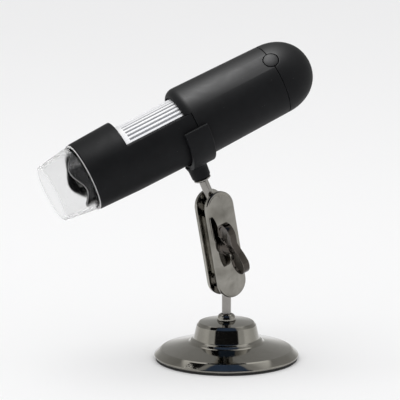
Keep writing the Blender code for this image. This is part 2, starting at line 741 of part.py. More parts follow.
def make_core(scope, finish, steel):
    flange = NOSE_BORE_RADIUS - GAP
    outline = [
        (CORE_BORE_RADIUS, CORE_START),
        (flange, CORE_START),
        (flange, CORE_START + CORE_FLANGE),
        (CORE_RADIUS, CORE_START + CORE_FLANGE),
        (CORE_RADIUS, CORE_END),
        (CORE_BORE_RADIUS, CORE_END),
    ]
    core = add_object("core_tube", turned(outline, INNER_SIDES), finish, scope)
    # The guide pin runs in a slot in the tube's underside
    length = 2 * (FOCUS_TRAVEL + PIN_RADIUS + 2 * GAP)
    width = 2 * (PIN_RADIUS + GAP)
    centre = (-CORE_RADIUS, 0, CARRIAGE_START + CARRIAGE_LENGTH / 2)
    size = (2 * CORE_WALL + OVERRUN, width, length)
    combine(core, add_object("pin_slot", block(size, centre), None, scope))
    inner = CORE_RADIUS + GAP
    low = WHEEL_END + GAP
    ring = ring_outline(inner, inner + RETAINER_HEIGHT, low, low + RETAINER_WIDTH)
    add_object("wheel_retaining_ring", turned(ring, INNER_SIDES), steel, scope)
    disc = ring_outline(SENSOR_WINDOW_RADIUS, SLEEVE_RADIUS - SLEEVE_WALL - GAP, DISC_START, DISC_END)
    bulkhead = add_object("rear_bulkhead", turned(disc, INNER_SIDES), finish, scope)
    for hole in make_core_screw_holes(scope, "disc_hole", DISC_START - OVERRUN, DISC_END + OVERRUN):
        combine(bulkhead, hole)
    head_low = DISC_START - GAP - CORE_SCREW_HEAD
    screw = [
        (0, head_low),
        (CORE_SCREW_HEAD_RADIUS, head_low),
        (CORE_SCREW_HEAD_RADIUS, DISC_START - GAP),
        (CORE_SCREW_RADIUS, DISC_START - GAP),
        (CORE_SCREW_RADIUS, DISC_START - GAP + CORE_SCREW_LENGTH),
        (0, DISC_START - GAP + CORE_SCREW_LENGTH),
    ]
    places = circle_places(CORE_SCREW_COUNT, CORE_SCREW_CIRCLE, CORE_SCREW_TURN)
    add_copies("core_screw", turned(screw, SMALL_SIDES), steel, scope, places)


def make_lens(carriage, black, glass, steel):
    end = LENS_BARREL_START + LENS_BARREL_LENGTH
    seat = LENS_BARREL_START + LENS_SETBACK + LENS_EDGE + LENS_BULGE + GAP
    inside = LENS_BARREL_RADIUS - LENS_BARREL_WALL
    stop = inside - 2 * GAP
    outline = [
        (inside, LENS_BARREL_START),
        (LENS_BARREL_RADIUS, LENS_BARREL_START),
        (LENS_BARREL_RADIUS, end),
        (stop, end),
        (stop, seat),
        (inside, seat),
    ]
    add_object("lens_barrel", turned(outline, MEDIUM_SIDES), black, carriage)
    radius = inside - GAP
    front = LENS_BARREL_START + LENS_SETBACK
    rear = front + LENS_EDGE
    shares = (1 / 2, 3 / 4)
    lens = [(0, front - LENS_BULGE)]
    lens += [(radius * share, front - LENS_BULGE * (1 - share**2)) for share in shares]
    lens += [(radius, front), (radius, rear)]
    lens += [(radius * share, rear + LENS_BULGE * (1 - share**2)) for share in reversed(shares)]
    lens += [(0, rear + LENS_BULGE)]
    add_object("objective_lens", turned(lens, MEDIUM_SIDES), glass, carriage)
    ring_rear = front - GAP - LENS_BULGE / 2
    ring = ring_outline(radius - LENS_BARREL_WALL / 2, radius, ring_rear - LENS_RING_WIDTH, ring_rear)
    add_object("lens_retaining_ring", turned(ring, MEDIUM_SIDES), steel, carriage)
    start = CARRIAGE_START
    holder = ring_outline(LENS_BARREL_RADIUS + GAP, CORE_BORE_RADIUS - GAP, start, start + CARRIAGE_LENGTH)
    carrier = add_object("lens_carriage", turned(holder, INNER_SIDES), black, carriage)
    station = CARRIAGE_START + CARRIAGE_LENGTH / 2
    downward = (0, -math.pi / 2, 0)
    low = CORE_BORE_RADIUS - GAP - PIN_DEPTH
    place = (0, 0, station)
    hole = drill("pin_hole", PIN_RADIUS + GAP, low - GAP, CORE_RADIUS, carriage, place, downward)
    combine(carrier, hole)
    pin = pin_outline(PIN_RADIUS, low, CORE_RADIUS)
    add_object("guide_pin", turned(pin, SMALL_SIDES), steel, carriage, place, downward)


def make_camera_parts(scope, green, chip, glass):
    filter_rear = DISC_START - GAP
    wide = 2 * (SENSOR_WINDOW_RADIUS + FILTER_LAP)
    size = (wide, wide, FILTER_THICKNESS)
    centre = (0, 0, filter_rear - FILTER_THICKNESS / 2)
    add_object("ir_filter", block(size, centre), glass, scope)
    size = (SENSOR_SIZE, SENSOR_SIZE, SENSOR_THICKNESS)
    centre = (0, 0, DISC_END - SENSOR_THICKNESS / 2)
    add_object("image_sensor", block(size, centre), chip, scope)
    low = DISC_END + GAP
    board = pin_outline(SENSOR_BOARD_RADIUS, low, low + BOARD_THICKNESS)
    add_object("sensor_board", turned(board, MEDIUM_SIDES), green, scope)


def make_main_board(scope, green, chip, steel):
    size = (BOARD_THICKNESS, MAIN_BOARD_WIDTH, MAIN_BOARD_LENGTH)
    centre = (MAIN_BOARD_RADIAL + BOARD_THICKNESS / 2, 0, (MAIN_BOARD_START + MAIN_BOARD_END) / 2)
    board = add_object("main_board", block(size, centre), green, scope, rotation=(0, 0, BUTTON_TURN))
    under = MAIN_BOARD_TOP + GAP
    shank_low = MAIN_BOARD_RADIAL - RAIL_THICKNESS
    outline = [
        (0, shank_low),
        (BOARD_SCREW_RADIUS, shank_low),
        (BOARD_SCREW_RADIUS, under),
        (BOARD_SCREW_HEAD_RADIUS, under),
        (BOARD_SCREW_HEAD_RADIUS, under + BOARD_SCREW_HEAD),
        (0, under + BOARD_SCREW_HEAD),
    ]
    places = []
    for number, side in enumerate((-1, 1)):
        across = side * (MAIN_BOARD_WIDTH / 2 - BOARD_SCREW_INSET)
        combine(board, board_screw_hole(scope, f"board_hole_{number}", across))
        places.append(turned_place(across, 0, board_screw_station()))
    add_copies("board_screw", turned(outline, SMALL_SIDES), steel, scope, places, button_frame_matrix())
    # The switch stands on the board, with a well for its plunger
    plunger_top = BUTTON_FLANGE_BOTTOM - 3 * GAP
    switch_top = plunger_top - PLUNGER_SHOW
    height = switch_top - SWITCH_BOTTOM
    centre = (SWITCH_BOTTOM + height / 2, 0, SEAM_STATION)
    size = (height, SWITCH_SIZE, SWITCH_SIZE)
    switch = add_object("button_switch", block(size, centre), chip, scope, rotation=(0, 0, BUTTON_TURN))
    well = plunger_top - PLUNGER_LENGTH - BUTTON_TRAVEL - GAP
    radius = PLUNGER_RADIUS + GAP
    place = (0, 0, SEAM_STATION)
    hole = drill("plunger_well", radius, well, switch_top + OVERRUN, scope, place, button_frame_matrix())
    combine(switch, hole)
    return plunger_top


def make_button(button, black, plunger_top):
    """Drawn with the microscope's axis at its own origin and the button's way out along Z."""
    stem_bottom = plunger_top + GAP
    edge = BUTTON_TOP - BUTTON_EDGE_DROP
    outline = [
        (0, stem_bottom),
        (BUTTON_STEM_RADIUS, stem_bottom),
        (BUTTON_STEM_RADIUS, BUTTON_FLANGE_BOTTOM),
        (BUTTON_FLANGE_RADIUS, BUTTON_FLANGE_BOTTOM),
        (BUTTON_FLANGE_RADIUS, BUTTON_FLANGE_TOP),
        (BUTTON_RADIUS, BUTTON_FLANGE_TOP),
        (BUTTON_RADIUS, edge - BUTTON_PROUD),
        (BUTTON_RADIUS - BUTTON_PROUD, edge),
        (BUTTON_RADIUS / 2, BUTTON_TOP - BUTTON_EDGE_DROP / 4),
        (0, BUTTON_TOP),
    ]
    add_object("snapshot_button", turned(outline, MEDIUM_SIDES), black, button)
    plunger = pin_outline(PLUNGER_RADIUS, plunger_top - PLUNGER_LENGTH, plunger_top)
    add_object("switch_plunger", turned(plunger, SMALL_SIDES), black, button)


def make_cable_gland(scope, rubber):
    flange_top = dome_station(GLAND_FLANGE_RADIUS, SLEEVE_WALL) - GAP
    lip = dome_station(GLAND_RADIUS) + GAP
    outline = [
        (GLAND_BORE_RADIUS, flange_top - GLAND_FLANGE),
        (GLAND_FLANGE_RADIUS, flange_top - GLAND_FLANGE),
        (GLAND_FLANGE_RADIUS, flange_top),
        (GLAND_RADIUS, flange_top),
        (GLAND_RADIUS, lip),
        (GLAND_LIP_RADIUS, lip),
        (GLAND_LIP_RADIUS, lip + GLAND_LIP / 2),
        (GLAND_LIP_RADIUS - GLAND_LIP / 2, lip + GLAND_LIP),
        (GLAND_BORE_RADIUS, lip + GLAND_LIP),
    ]
    add_object("cable_gland", turned(outline, MEDIUM_SIDES), rubber, scope)


def make_clip_holder(holder, black, brass):
    """Half ring round the shell's underside, with a boss that points down the stem."""
    low = CLIP_FRONT
    high = CLIP_FRONT + CLIP_WIDTH
    edge = CLIP_EDGE_ROUND
    outline = [(CLIP_BORE_RADIUS, low)]
    outline += arc(CLIP_RADIUS - edge, low + edge, edge, -90, 0, 2)
    outline += arc(CLIP_RADIUS - edge, high - edge, edge, 0, 90, 2)
    outline += [(CLIP_BORE_RADIUS, high)]
    sweep = swept(outline, CLIP_HALF_OPENING, math.tau - CLIP_HALF_OPENING, BODY_SIDES // 2)
    clip = add_object("clip_holder", sweep, black, holder)
    downward = (0, -math.pi / 2, 0)
    place = (0, 0, BOSS_STATION)
    root = CLIP_BORE_RADIUS + CLIP_THICKNESS / 4
    boss = [(0, root), (BOSS_RADIUS, root)]
    boss += arc(BOSS_RADIUS - BOSS_ROUND, BOSS_END - BOSS_ROUND, BOSS_ROUND, 0, 90)
    boss += [(0, BOSS_END)]
    helper = add_object("boss_body", turned(boss, MEDIUM_SIDES), None, holder, place, downward)
    combine(clip, helper, "UNION")
    bottom = BOSS_END - INSERT_LENGTH
    hole = pin_outline(INSERT_RADIUS + GAP, bottom - GAP, BOSS_END + OVERRUN)
    combine(clip, add_object("insert_hole", turned(hole, MEDIUM_SIDES), None, holder, place, downward))
    insert = ring_outline(INSERT_RADIUS - INSERT_WALL, INSERT_RADIUS, bottom, BOSS_END)
    add_object("threaded_insert", turned(insert, MEDIUM_SIDES), brass, holder, place, downward)


def ball_arc(neck_radius, steps):
    """Section of a ball at the origin, from its far pole round to a rod that leaves along +Z."""
    neck = math.degrees(math.acos(neck_radius / BALL_RADIUS))
    points = arc(0, 0, BALL_RADIUS, -90, neck, steps)
    points[0] = (0, -BALL_RADIUS)
    return points


def make_upper_stud(stud, steel):
    """Drawn with the ball's centre at the origin and the rod along Z, up to the thread in the boss."""
    shoulder = BALL_TO_AXIS - ROD_SHOULDER
    tip = BALL_TO_AXIS - (BOSS_END - INSERT_LENGTH) - 2 * GAP
    outline = ball_arc(ROD_RADIUS, BALL_STEPS)
    outline += [(ROD_RADIUS, shoulder), (THREAD_RADIUS, shoulder), (THREAD_RADIUS, tip), (0, tip)]
    add_object("upper_ball_stud", turned(outline, MEDIUM_SIDES), steel, stud)
    near = BALL_TO_AXIS - WASHER_FAR
    washer = ring_outline(THREAD_RADIUS + GAP, STEM_WASHER_RADIUS, near, near + STEM_WASHER)
    add_object("stem_washer", turned(washer, MEDIUM_SIDES), steel, stud)


def make_lower_stud(stud, steel):
    """The same, upside down: the rod runs down through the foot's hub."""
    shoulder = LOWER_BALL_HEIGHT - HUB_SEAT_HEIGHT - GAP
    nut_top = HUB_SEAT_HEIGHT - BASE_WALL - GAP
    tip = LOWER_BALL_HEIGHT - nut_top + NUT_HEIGHT + STUD_TAIL
    outline = ball_arc(ROD_RADIUS, BALL_STEPS)
    outline += [(ROD_RADIUS, shoulder), (THREAD_RADIUS, shoulder), (THREAD_RADIUS, tip), (0, tip)]
    add_object("lower_ball_stud", turned(outline, MEDIUM_SIDES), steel, stud, rotation=(math.pi, 0, 0))


def make_arm_plate(name, arm, side, metal):
    """One clamp plate: bevelled outside, with a raised middle block and two ball cups inside."""
    bm = plate(stadium(PLATE_LENGTH, PLATE_WIDTH, BALL_STEPS), side * PLATE_INNER, side * PLATE_OUTER)
    outer = [edge for edge in bm.edges if all(abs(v.co.y) > PLATE_OUTER - GAP for v in edge.verts)]
    bmesh.ops.bevel(bm, geom=outer, offset=PLATE_ROUND, segments=2, affect="EDGES", profile=0.5)
    body = add_object(name, bm, metal, arm)
    root = PLATE_THICKNESS / 2
    centre = (0, side * (PLATE_INNER + root + BLOCK_SPLIT / 2) / 2, 0)
    size = (BLOCK_WIDTH, PLATE_INNER + root - BLOCK_SPLIT / 2, BLOCK_LENGTH)
    helper = add_object(f"{name}_block", block(size, centre), None, arm)
    combine(body, helper, "UNION")
    for end in (-1, 1):
        cup = arc(0, 0, BALL_RADIUS + GAP, -90, 90, BALL_STEPS)
        cup[0] = (0, -BALL_RADIUS - GAP)
        cup[-1] = (0, BALL_RADIUS + GAP)
        place = (0, 0, end * BALL_SPACING / 2)
        combine(body, add_object(f"{name}_cup_{end}", turned(cup, MEDIUM_SIDES), None, arm, place))
    across = (math.pi / 2, 0, 0)
    place = (-SCREW_ASIDE, 0, 0)
    radius = SCREW_RADIUS + GAP
    combine(body, drill(f"{name}_hole", radius, -ARM_THICKNESS, ARM_THICKNESS, arm, place, across))


def make_clamp(arm, clamp, nut, steel, dark):
    """Bolt from the back, washer and wing nut at the front, along the plates' normal."""
    # A piece drawn along Z points out of the front plate after this turn
    forward = (math.pi / 2, 0, 0)
    head_top = -PLATE_OUTER - GAP
    washer_low = PLATE_OUTER + GAP
    nut_low = washer_low + CLAMP_WASHER + GAP
    tip = nut_low + NUT_HUB_HEIGHT - SCREW_END
    head_low = head_top - SCREW_HEAD
    flat = SCREW_HEAD_RADIUS - SCREW_HEAD_ROUND
    head = [(0, head_low)] + arc(flat, head_low + SCREW_HEAD_ROUND, SCREW_HEAD_ROUND, -90, 0)
    head += [(SCREW_HEAD_RADIUS, head_top), (SCREW_RADIUS, head_top), (SCREW_RADIUS, tip), (0, tip)]
    aside = (-SCREW_ASIDE, 0, 0)
    add_object("clamp_screw", turned(head, MEDIUM_SIDES), steel, arm, aside, forward)
    washer = ring_outline(SCREW_RADIUS + GAP, CLAMP_WASHER_RADIUS, washer_low, washer_low + CLAMP_WASHER)
    add_object("clamp_washer", turned(washer, MEDIUM_SIDES), steel, clamp, aside, forward)
    make_wing_nut(nut, dark, nut_low)


def make_wing_nut(nut, dark, nut_low):
    """Drawn with -Y out along the screw: the hub stands on the washer, and the wings rise and spread."""
    forward = (math.pi / 2, 0, 0)
    top = nut_low + NUT_HUB_HEIGHT
    hub = [
        (0, nut_low),
        (NUT_HUB_RADIUS, nut_low),
        (NUT_HUB_RADIUS, nut_low + NUT_HUB_TAPER),
        (NUT_HUB_RADIUS - NUT_HUB_TAPER, top),
        (0, top),
    ]
    body = add_object("wing_nut", turned(hub, MEDIUM_SIDES), dark, nut, rotation=forward)
    foot = nut_low + NUT_HUB_TAPER
    rise = foot + WING_LOBE_UP
    for side in (-1, 1):
        lobe = arc(WING_LOBE_OUT, rise, WING_LOBE_RADIUS, -60, 135, 2 * ARC_STEPS)
        outline = [(0, foot), (NUT_HUB_RADIUS, foot)] + lobe + [(NUT_HUB_RADIUS / 2, top), (0, top)]
        bm = bmesh.new()
        half = WING_THICKNESS / 2
        face = bm.faces.new([bm.verts.new((-half, -up, side * out)) for out, up in outline])
        made = bmesh.ops.extrude_face_region(bm, geom=[face])["geom"]
        moved = [item for item in made if isinstance(item, bmesh.types.BMVert)]
        bmesh.ops.translate(bm, vec=(WING_THICKNESS, 0, 0), verts=moved)
        rims = [edge for edge in bm.edges if abs(edge.verts[0].co.x - edge.verts[1].co.x) < GAP]
        rims = [edge for edge in rims if max(abs(v.co.z) for v in edge.verts) > NUT_HUB_RADIUS + GAP]
        bmesh.ops.bevel(bm, geom=rims, offset=WING_ROUND, segments=1, affect="EDGES", profile=0.5)
        combine(body, add_object(f"wing_{side}", bm, None, nut), "UNION")
    low = nut_low - OVERRUN
    combine(body, drill("nut_hole", SCREW_RADIUS + GAP, low, top + OVERRUN, nut, rotation=forward))


def make_base(finish, pad_finish, iron, steel):
    bore = THREAD_RADIUS + GAP
    seat = HUB_SEAT_HEIGHT
    shoulder = HUB_SHOULDER_RADIUS - HUB_SHOULDER_ROUND
    outer = [(bore, seat), (HUB_SEAT_RADIUS, seat)]
    outer += arc(shoulder, HUB_TOP_HEIGHT - HUB_SHOULDER_ROUND, HUB_SHOULDER_ROUND, 85, 10)
    outer += [
        (HUB_FOOT_RADIUS, HUB_FOOT_HEIGHT + HUB_FOOT_FILLET),
        (HUB_FOOT_RADIUS + HUB_FOOT_FILLET / 3, HUB_FOOT_HEIGHT + HUB_FOOT_FILLET / 3),
        (HUB_FOOT_RADIUS + HUB_FOOT_FILLET, HUB_FOOT_HEIGHT),
        (RIM_RING_RADIUS, RIM_RING_HEIGHT),
        (BASE_RADIUS - BASE_WALL / 4, RIM_WIDEST_HEIGHT + BASE_WALL / 2),
        (BASE_RADIUS, RIM_WIDEST_HEIGHT),
        (PAD_RADIUS, SHELL_BOTTOM),
    ]
    under = HUB_TOP_HEIGHT + HUB_CROWN - BASE_WALL
    inner = [
        (PAD_RADIUS - BASE_WALL, SHELL_BOTTOM),
        (BASE_RADIUS - 2 * BASE_WALL, RIM_WIDEST_HEIGHT),
        (HUB_FOOT_RADIUS + HUB_FOOT_FILLET - BASE_WALL, HUB_FOOT_HEIGHT - BASE_WALL),
        (HUB_FOOT_RADIUS - BASE_WALL, HUB_FOOT_HEIGHT + HUB_FOOT_FILLET),
        (shoulder, under - HUB_CROWN),
        (HUB_SEAT_RADIUS, under),
        (bore, under),
    ]
    add_object("base_dome", turned(outer + inner, BASE_SIDES), finish)
    pad = pin_outline(PAD_RADIUS, 0, PAD_THICKNESS)
    add_object("base_pad", turned(pad, BASE_SIDES), pad_finish)
    low = PAD_THICKNESS + GAP
    weight = ring_outline(WEIGHT_HOLE_RADIUS, WEIGHT_RADIUS, low, low + WEIGHT_THICKNESS)
    add_object("base_weight", turned(weight, INNER_SIDES), iron)
    inner_radius = ROD_RADIUS + GAP
    dome = [(inner_radius, COLLAR_BOTTOM)]
    rise = BASE_COLLAR_HEIGHT
    for step in range(ARC_STEPS + 1):
        angle = math.pi / 2 * step / (ARC_STEPS + 1)
        radius = inner_radius + (BASE_COLLAR_RADIUS - inner_radius) * math.cos(angle)
        dome.append((radius, COLLAR_BOTTOM + rise * math.sin(angle)))
    dome.append((inner_radius, COLLAR_BOTTOM + rise))
    add_object("base_collar", turned(dome, MEDIUM_SIDES), steel)
    nut_top = under - GAP
    nut_radius = NUT_FLATS / math.sqrt(3)
    nut_low = nut_top - NUT_HEIGHT
    nut = add_object("base_nut", turned(pin_outline(nut_radius, nut_low, nut_top), 6), steel)
    combine(nut, drill("base_nut_hole", bore, nut_low - OVERRUN, nut_top + OVERRUN, None))


def main():
    clear_scene()
    soft_black = make_finish("soft_touch_black", (0.022, 0.023, 0.025), 0.55)
    satin_black = make_finish("satin_black", (0.018, 0.018, 0.019), 0.4)
    clear = make_finish("clear_plastic", (0.95, 0.96, 0.97), 0.08, transmission=1.0)
    silver = make_finish("silver_plastic", (0.80, 0.81, 0.83), 0.22, 1.0)
    gunmetal = make_finish("gunmetal_chrome", (0.30, 0.29, 0.27), 0.16, 1.0)
    dark_nickel = make_finish("dark_nickel", (0.16, 0.145, 0.13), 0.22, 1.0)
    steel = make_finish("bright_steel", (0.62, 0.61, 0.59), 0.25, 1.0)
    brass = make_finish("brass", (0.72, 0.55, 0.28), 0.35, 1.0)
    iron = make_finish("cast_iron", (0.10, 0.10, 0.10), 0.7, 0.6)
    rubber = make_finish("black_rubber", (0.02, 0.02, 0.02), 0.85)
    green = make_finish("circuit_board", (0.03, 0.16, 0.08), 0.45)
    white_board = make_finish("lamp_board", (0.75, 0.76, 0.74), 0.5)
    chip = make_finish("moulded_chip", (0.03, 0.03, 0.035), 0.5)
    lens_glass = make_finish("lens_glass", (0.85, 0.90, 0.95), 0.03, transmission=1.0)
    lamp_clear = make_finish("lamp_epoxy", (0.95, 0.95, 0.90), 0.05, transmission=0.9)

    # Joint axes, from the foot upwards
    lower = make_empty("lower_ball_centre", (0, 0, LOWER_BALL_HEIGHT), (0, 0, 0))
    tilt = (0, -ARM_LEAN, ARM_TURN)
    along = Matrix.Rotation(ARM_TURN, 3, "Z") @ Matrix.Rotation(-ARM_LEAN, 3, "Y") @ Vector((0, 0, 1))
    ball = Vector((0, 0, LOWER_BALL_HEIGHT))
    arm = make_empty("arm_centre", ball + along * BALL_SPACING / 2, tilt)
    clamp = make_empty("clamp_plate_centre", arm.location, tilt)
    across = Matrix.Rotation(ARM_TURN, 3, "Z") @ Matrix.Rotation(-ARM_LEAN, 3, "Y") @ Vector((1, 0, 0))
    nut_place = arm.location - across * SCREW_ASIDE
    nut = make_empty("wing_nut_axis", nut_place, (0, -ARM_LEAN - NUT_TURN, ARM_TURN))
    upper_ball = ball + along * BALL_SPACING
    upper = make_empty("upper_ball_centre", upper_ball, (0, -BODY_PITCH, 0))
    stem = Vector((-math.sin(BODY_PITCH), 0, math.cos(BODY_PITCH)))
    axis = Vector((math.cos(BODY_PITCH), 0, math.sin(BODY_PITCH)))
    front = upper_ball + stem * BALL_TO_AXIS - axis * BOSS_STATION
    # The microscope's own Z runs to the rear and its X away from the stand
    turn = Matrix((stem, Vector((0, -1, 0)), axis)).transposed().to_euler()
    scope = make_empty("microscope_axis", front, turn)
    wheel = make_empty("focus_wheel_axis", front, turn)
    carriage = make_empty("lens_carriage_axis", front, turn)
    holder = make_empty("clip_holder_axis", front, turn)
    button = make_empty("button_axis", (0, 0, SEAM_STATION), button_frame_matrix(), scope)

    make_base(gunmetal, rubber, iron, steel)
    make_lower_stud(lower, steel)
    make_arm_plate("arm_plate_rear", arm, 1, gunmetal)
    make_arm_plate("arm_plate_front", clamp, -1, gunmetal)
    make_clamp(arm, clamp, nut, steel, dark_nickel)
    make_upper_stud(upper, steel)
    make_clip_holder(holder, soft_black, brass)
    make_front_barrel(scope, soft_black)
    make_rear_sleeve(scope, soft_black)
    make_end_cap(scope, soft_black)
    make_nose_cap(scope, clear)
    make_lamp_shroud(scope, satin_black)
    make_lamps(scope, white_board, lamp_clear)
    make_focus_wheel(wheel, silver)
    make_core(scope, satin_black, steel)
    make_lens(carriage, satin_black, lens_glass, steel)
    make_camera_parts(scope, green, chip, lens_glass)
    plunger_top = make_main_board(scope, green, chip, steel)
    make_button(button, soft_black, plunger_top)
    make_cable_gland(scope, rubber)


main()
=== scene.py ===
"""Looks of the digital microscope and its clamp-arm stand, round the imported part, in metres."""

import json
from math import acos, atan2, cos, hypot, pi, radians, sin, sqrt, tan, tau

import bmesh
import bpy
from mathutils import Matrix, Vector


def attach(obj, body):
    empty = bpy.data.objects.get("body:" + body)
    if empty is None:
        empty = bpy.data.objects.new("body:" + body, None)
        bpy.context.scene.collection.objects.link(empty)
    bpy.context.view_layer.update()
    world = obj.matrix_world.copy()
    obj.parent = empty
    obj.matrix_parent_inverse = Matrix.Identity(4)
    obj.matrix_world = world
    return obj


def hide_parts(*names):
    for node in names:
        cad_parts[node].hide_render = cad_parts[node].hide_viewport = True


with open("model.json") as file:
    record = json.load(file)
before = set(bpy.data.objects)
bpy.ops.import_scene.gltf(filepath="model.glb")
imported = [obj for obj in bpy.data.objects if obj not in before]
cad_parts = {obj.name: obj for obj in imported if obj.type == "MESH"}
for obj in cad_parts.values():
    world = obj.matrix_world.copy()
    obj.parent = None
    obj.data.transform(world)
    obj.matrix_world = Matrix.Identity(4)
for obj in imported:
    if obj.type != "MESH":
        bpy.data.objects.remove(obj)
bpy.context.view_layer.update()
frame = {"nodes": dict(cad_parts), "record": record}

# Posture of the arm and the microscope, as in the part
BODY_PITCH = radians(23.85)
ARM_LEAN = radians(11.1)
ARM_TURN = radians(14.7)
# The nut's wings stand 12 degrees back from the part's, as the photograph shows them
NUT_TURN = radians(7)
BUTTON_TURN = radians(43.7)
LOWER_BALL_HEIGHT = 0.0356
BALL_SPACING = 0.0356
BALL_TO_AXIS = 0.03882
BOSS_STATION = 0.0478
SCREW_ASIDE = 0.0012

# Stations and radii of the microscope, from the front edge of its black shell
FRONT_LENGTH = 0.0198
SLEEVE_START = 0.0515
SEAM_STATION = 0.0944
DOME_LENGTH = 0.0185
FRONT_RADIUS = 0.01553
WINDOW_RADIUS = 0.01627
TROUGH_REAR_RADIUS = 0.01644
SLEEVE_RADIUS = 0.01682
SEAM_RADIUS = 0.01603
NOSE_BORE = 0.01413
WHEEL_BORE = 0.0137
SLEEVE_BORE = 0.01443
CORE_HOLE = 0.012
WINDOW_RIM_HEIGHT = 0.0075
SHELL_WALL = 0.0016
DOME_FULLNESS = 2.15
LIP_REACH = 0.0032
# Powers under 1 make the lip's quarter round fuller, along the barrel and out from it
LIP_FULLNESS = (0.9, 0.8)
SEAM_GAP = 0.0003
WHEEL_RADIUS = 0.0131
WHEEL_START = 0.0186
WHEEL_END = 0.064
WHEEL_COLLAR_END = 0.0228
RIB_COUNT = 40
RIB_DEPTH = 0.0005
# Shares of half a rib: half a groove with its wall, and the wall
GROOVE_SHARE = 0.52
GROOVE_WALL_SHARE = 0.2
SHROUD_RADIUS = 0.0124
SHROUD_REACH = 0.0039
# Waves of the shroud's front edge: how many round the edge, how high, and the angle of a crest
SHROUD_WAVES = ((1, 0.00099, 88), (2, 0.00156, 80), (3, 0.00121, 29.5), (4, 0.00122, -34))
FIRST_LAMP = radians(59)
LAMP_COUNT = 8
LAMP_CIRCLE = 0.008804
CLIP_FRONT = 0.0438
CLIP_WIDTH = 0.0113
CLIP_BORE = 0.01712
CLIP_RADIUS = 0.01922
CLIP_HALF_OPENING = radians(86)
BOSS_END = 0.02482
BOSS_RADIUS = 0.0042

# Arm, studs and nut of the stand
PLATE_LENGTH = 0.0492
PLATE_WIDTH = 0.0145
PLATE_INNER = 0.003
PLATE_OUTER = 0.0051
BALL_RADIUS = 0.0042
CUP_RADIUS = 0.0045
ROD_RADIUS = 0.00205
NUT_LOW = 0.0064
NUT_FOOT = NUT_LOW + 0.0006
WING_HALF_THICKNESS = 0.0016
WING_ASIDE = 0.0013

# How finely turned pieces are divided
WIDE_SIDES = 160
SIDES = 96
FEW_SIDES = 48
ROUND_STEPS = 4
SMOOTH_ANGLE = radians(40)
TINY = 0.000001
QUARTER = pi / 2
CUTTER_REACH = 0.03


# Places of the moving bodies, as in the part


def basis(origin, x, y, z):
    """Matrix of a frame whose axes are the three directions."""
    matrix = Matrix((x, y, z)).transposed().to_4x4()
    matrix.translation = origin
    return matrix


lower_ball = Vector((0, 0, LOWER_BALL_HEIGHT))
arm_turn = Matrix.Rotation(ARM_TURN, 4, "Z") @ Matrix.Rotation(-ARM_LEAN, 4, "Y")
along_arm = arm_turn @ Vector((0, 0, 1))
ARM = Matrix.Translation(lower_ball + along_arm * BALL_SPACING / 2) @ arm_turn
UPPER_BALL = lower_ball + along_arm * BALL_SPACING
nut_centre = ARM @ Vector((-SCREW_ASIDE, 0, 0))
NUT = Matrix.Translation(nut_centre) @ arm_turn @ Matrix.Rotation(-NUT_TURN, 4, "Y")
stem = Vector((-sin(BODY_PITCH), 0, cos(BODY_PITCH)))
barrel_axis = Vector((cos(BODY_PITCH), 0, sin(BODY_PITCH)))
nose_start = UPPER_BALL + stem * BALL_TO_AXIS - barrel_axis * BOSS_STATION
SCOPE = basis(nose_start, stem, Vector((0, -1, 0)), barrel_axis)
UPPER_STUD = Matrix.Translation(UPPER_BALL) @ Matrix.Rotation(-BODY_PITCH, 4, "Y")
LOWER_STUD = Matrix.Translation(lower_ball) @ Matrix.Rotation(pi, 4, "X")
BOSS = SCOPE @ Matrix.Translation((0, 0, BOSS_STATION)) @ Matrix.Rotation(-pi / 2, 4, "Y")
button_out = Vector((cos(BUTTON_TURN), sin(BUTTON_TURN), 0))
button_turn = button_out.to_track_quat("Z", "Y").to_matrix().to_4x4()
BUTTON = SCOPE @ Matrix.Translation((0, 0, SEAM_STATION)) @ button_turn
SCREW = ARM @ Matrix.Translation((-SCREW_ASIDE, 0, 0)) @ Matrix.Rotation(pi / 2, 4, "X")
NUT_UP = NUT @ Matrix.Rotation(pi / 2, 4, "X")
UPRIGHT = Matrix.Identity(4)


# Mesh helpers


def rounded(corners, steps=ROUND_STEPS):
    """Outline through (radius, height, fillet) corners, each fillet drawn as an arc."""
    outline = []
    for index, (radius, height, fillet) in enumerate(corners):
        corner = Vector((radius, height))
        if fillet == 0:
            outline.append(tuple(corner))
            continue
        before = (Vector(corners[index - 1][:2]) - corner).normalized()
        after = (Vector(corners[(index + 1) % len(corners)][:2]) - corner).normalized()
        half = before.angle(after) / 2
        cut = fillet / tan(half)
        centre = corner + (before + after).normalized() * fillet / sin(half)
        first = corner + before * cut - centre
        turn = first.angle_signed(corner + after * cut - centre)
        for step in range(steps + 1):
            spoke = first.copy()
            spoke.rotate(Matrix.Rotation(-turn * step / steps, 2))
            outline.append(tuple(centre + spoke))
    return outline


def sweep(start, span, steps):
    """Angles from start through span, in even steps."""
    return [start + span * step / steps for step in range(steps + 1)]


def polar(radius, turn):
    return radius * cos(turn), radius * sin(turn)


def arc(radius, start, span, steps):
    return [polar(radius, turn) for turn in sweep(start, span, steps)]


def turned(outline, sides=SIDES):
    """A solid of revolution about Z, closed along the axis where the outline meets it."""
    bm = bmesh.new()
    verts = [bm.verts.new((max(radius, 0), 0, height)) for radius, height in outline]
    edges = [bm.edges.new(pair) for pair in zip(verts, verts[1:])]
    if outline[0][0] > TINY or outline[-1][0] > TINY:
        edges.append(bm.edges.new((verts[-1], verts[0])))
    geometry = verts + edges
    bmesh.ops.spin(bm, geom=geometry, axis=(0, 0, 1), angle=tau, steps=sides, use_merge=True)
    bmesh.ops.remove_doubles(bm, verts=bm.verts, dist=TINY)
    return bm


def box(low, high):
    """A block between two opposite corners."""
    bm = bmesh.new()
    bmesh.ops.create_cube(bm, size=1)
    size = Vector(high) - Vector(low)
    bmesh.ops.scale(bm, vec=size, verts=bm.verts)
    bmesh.ops.translate(bm, vec=(Vector(low) + Vector(high)) / 2, verts=bm.verts)
    return bm


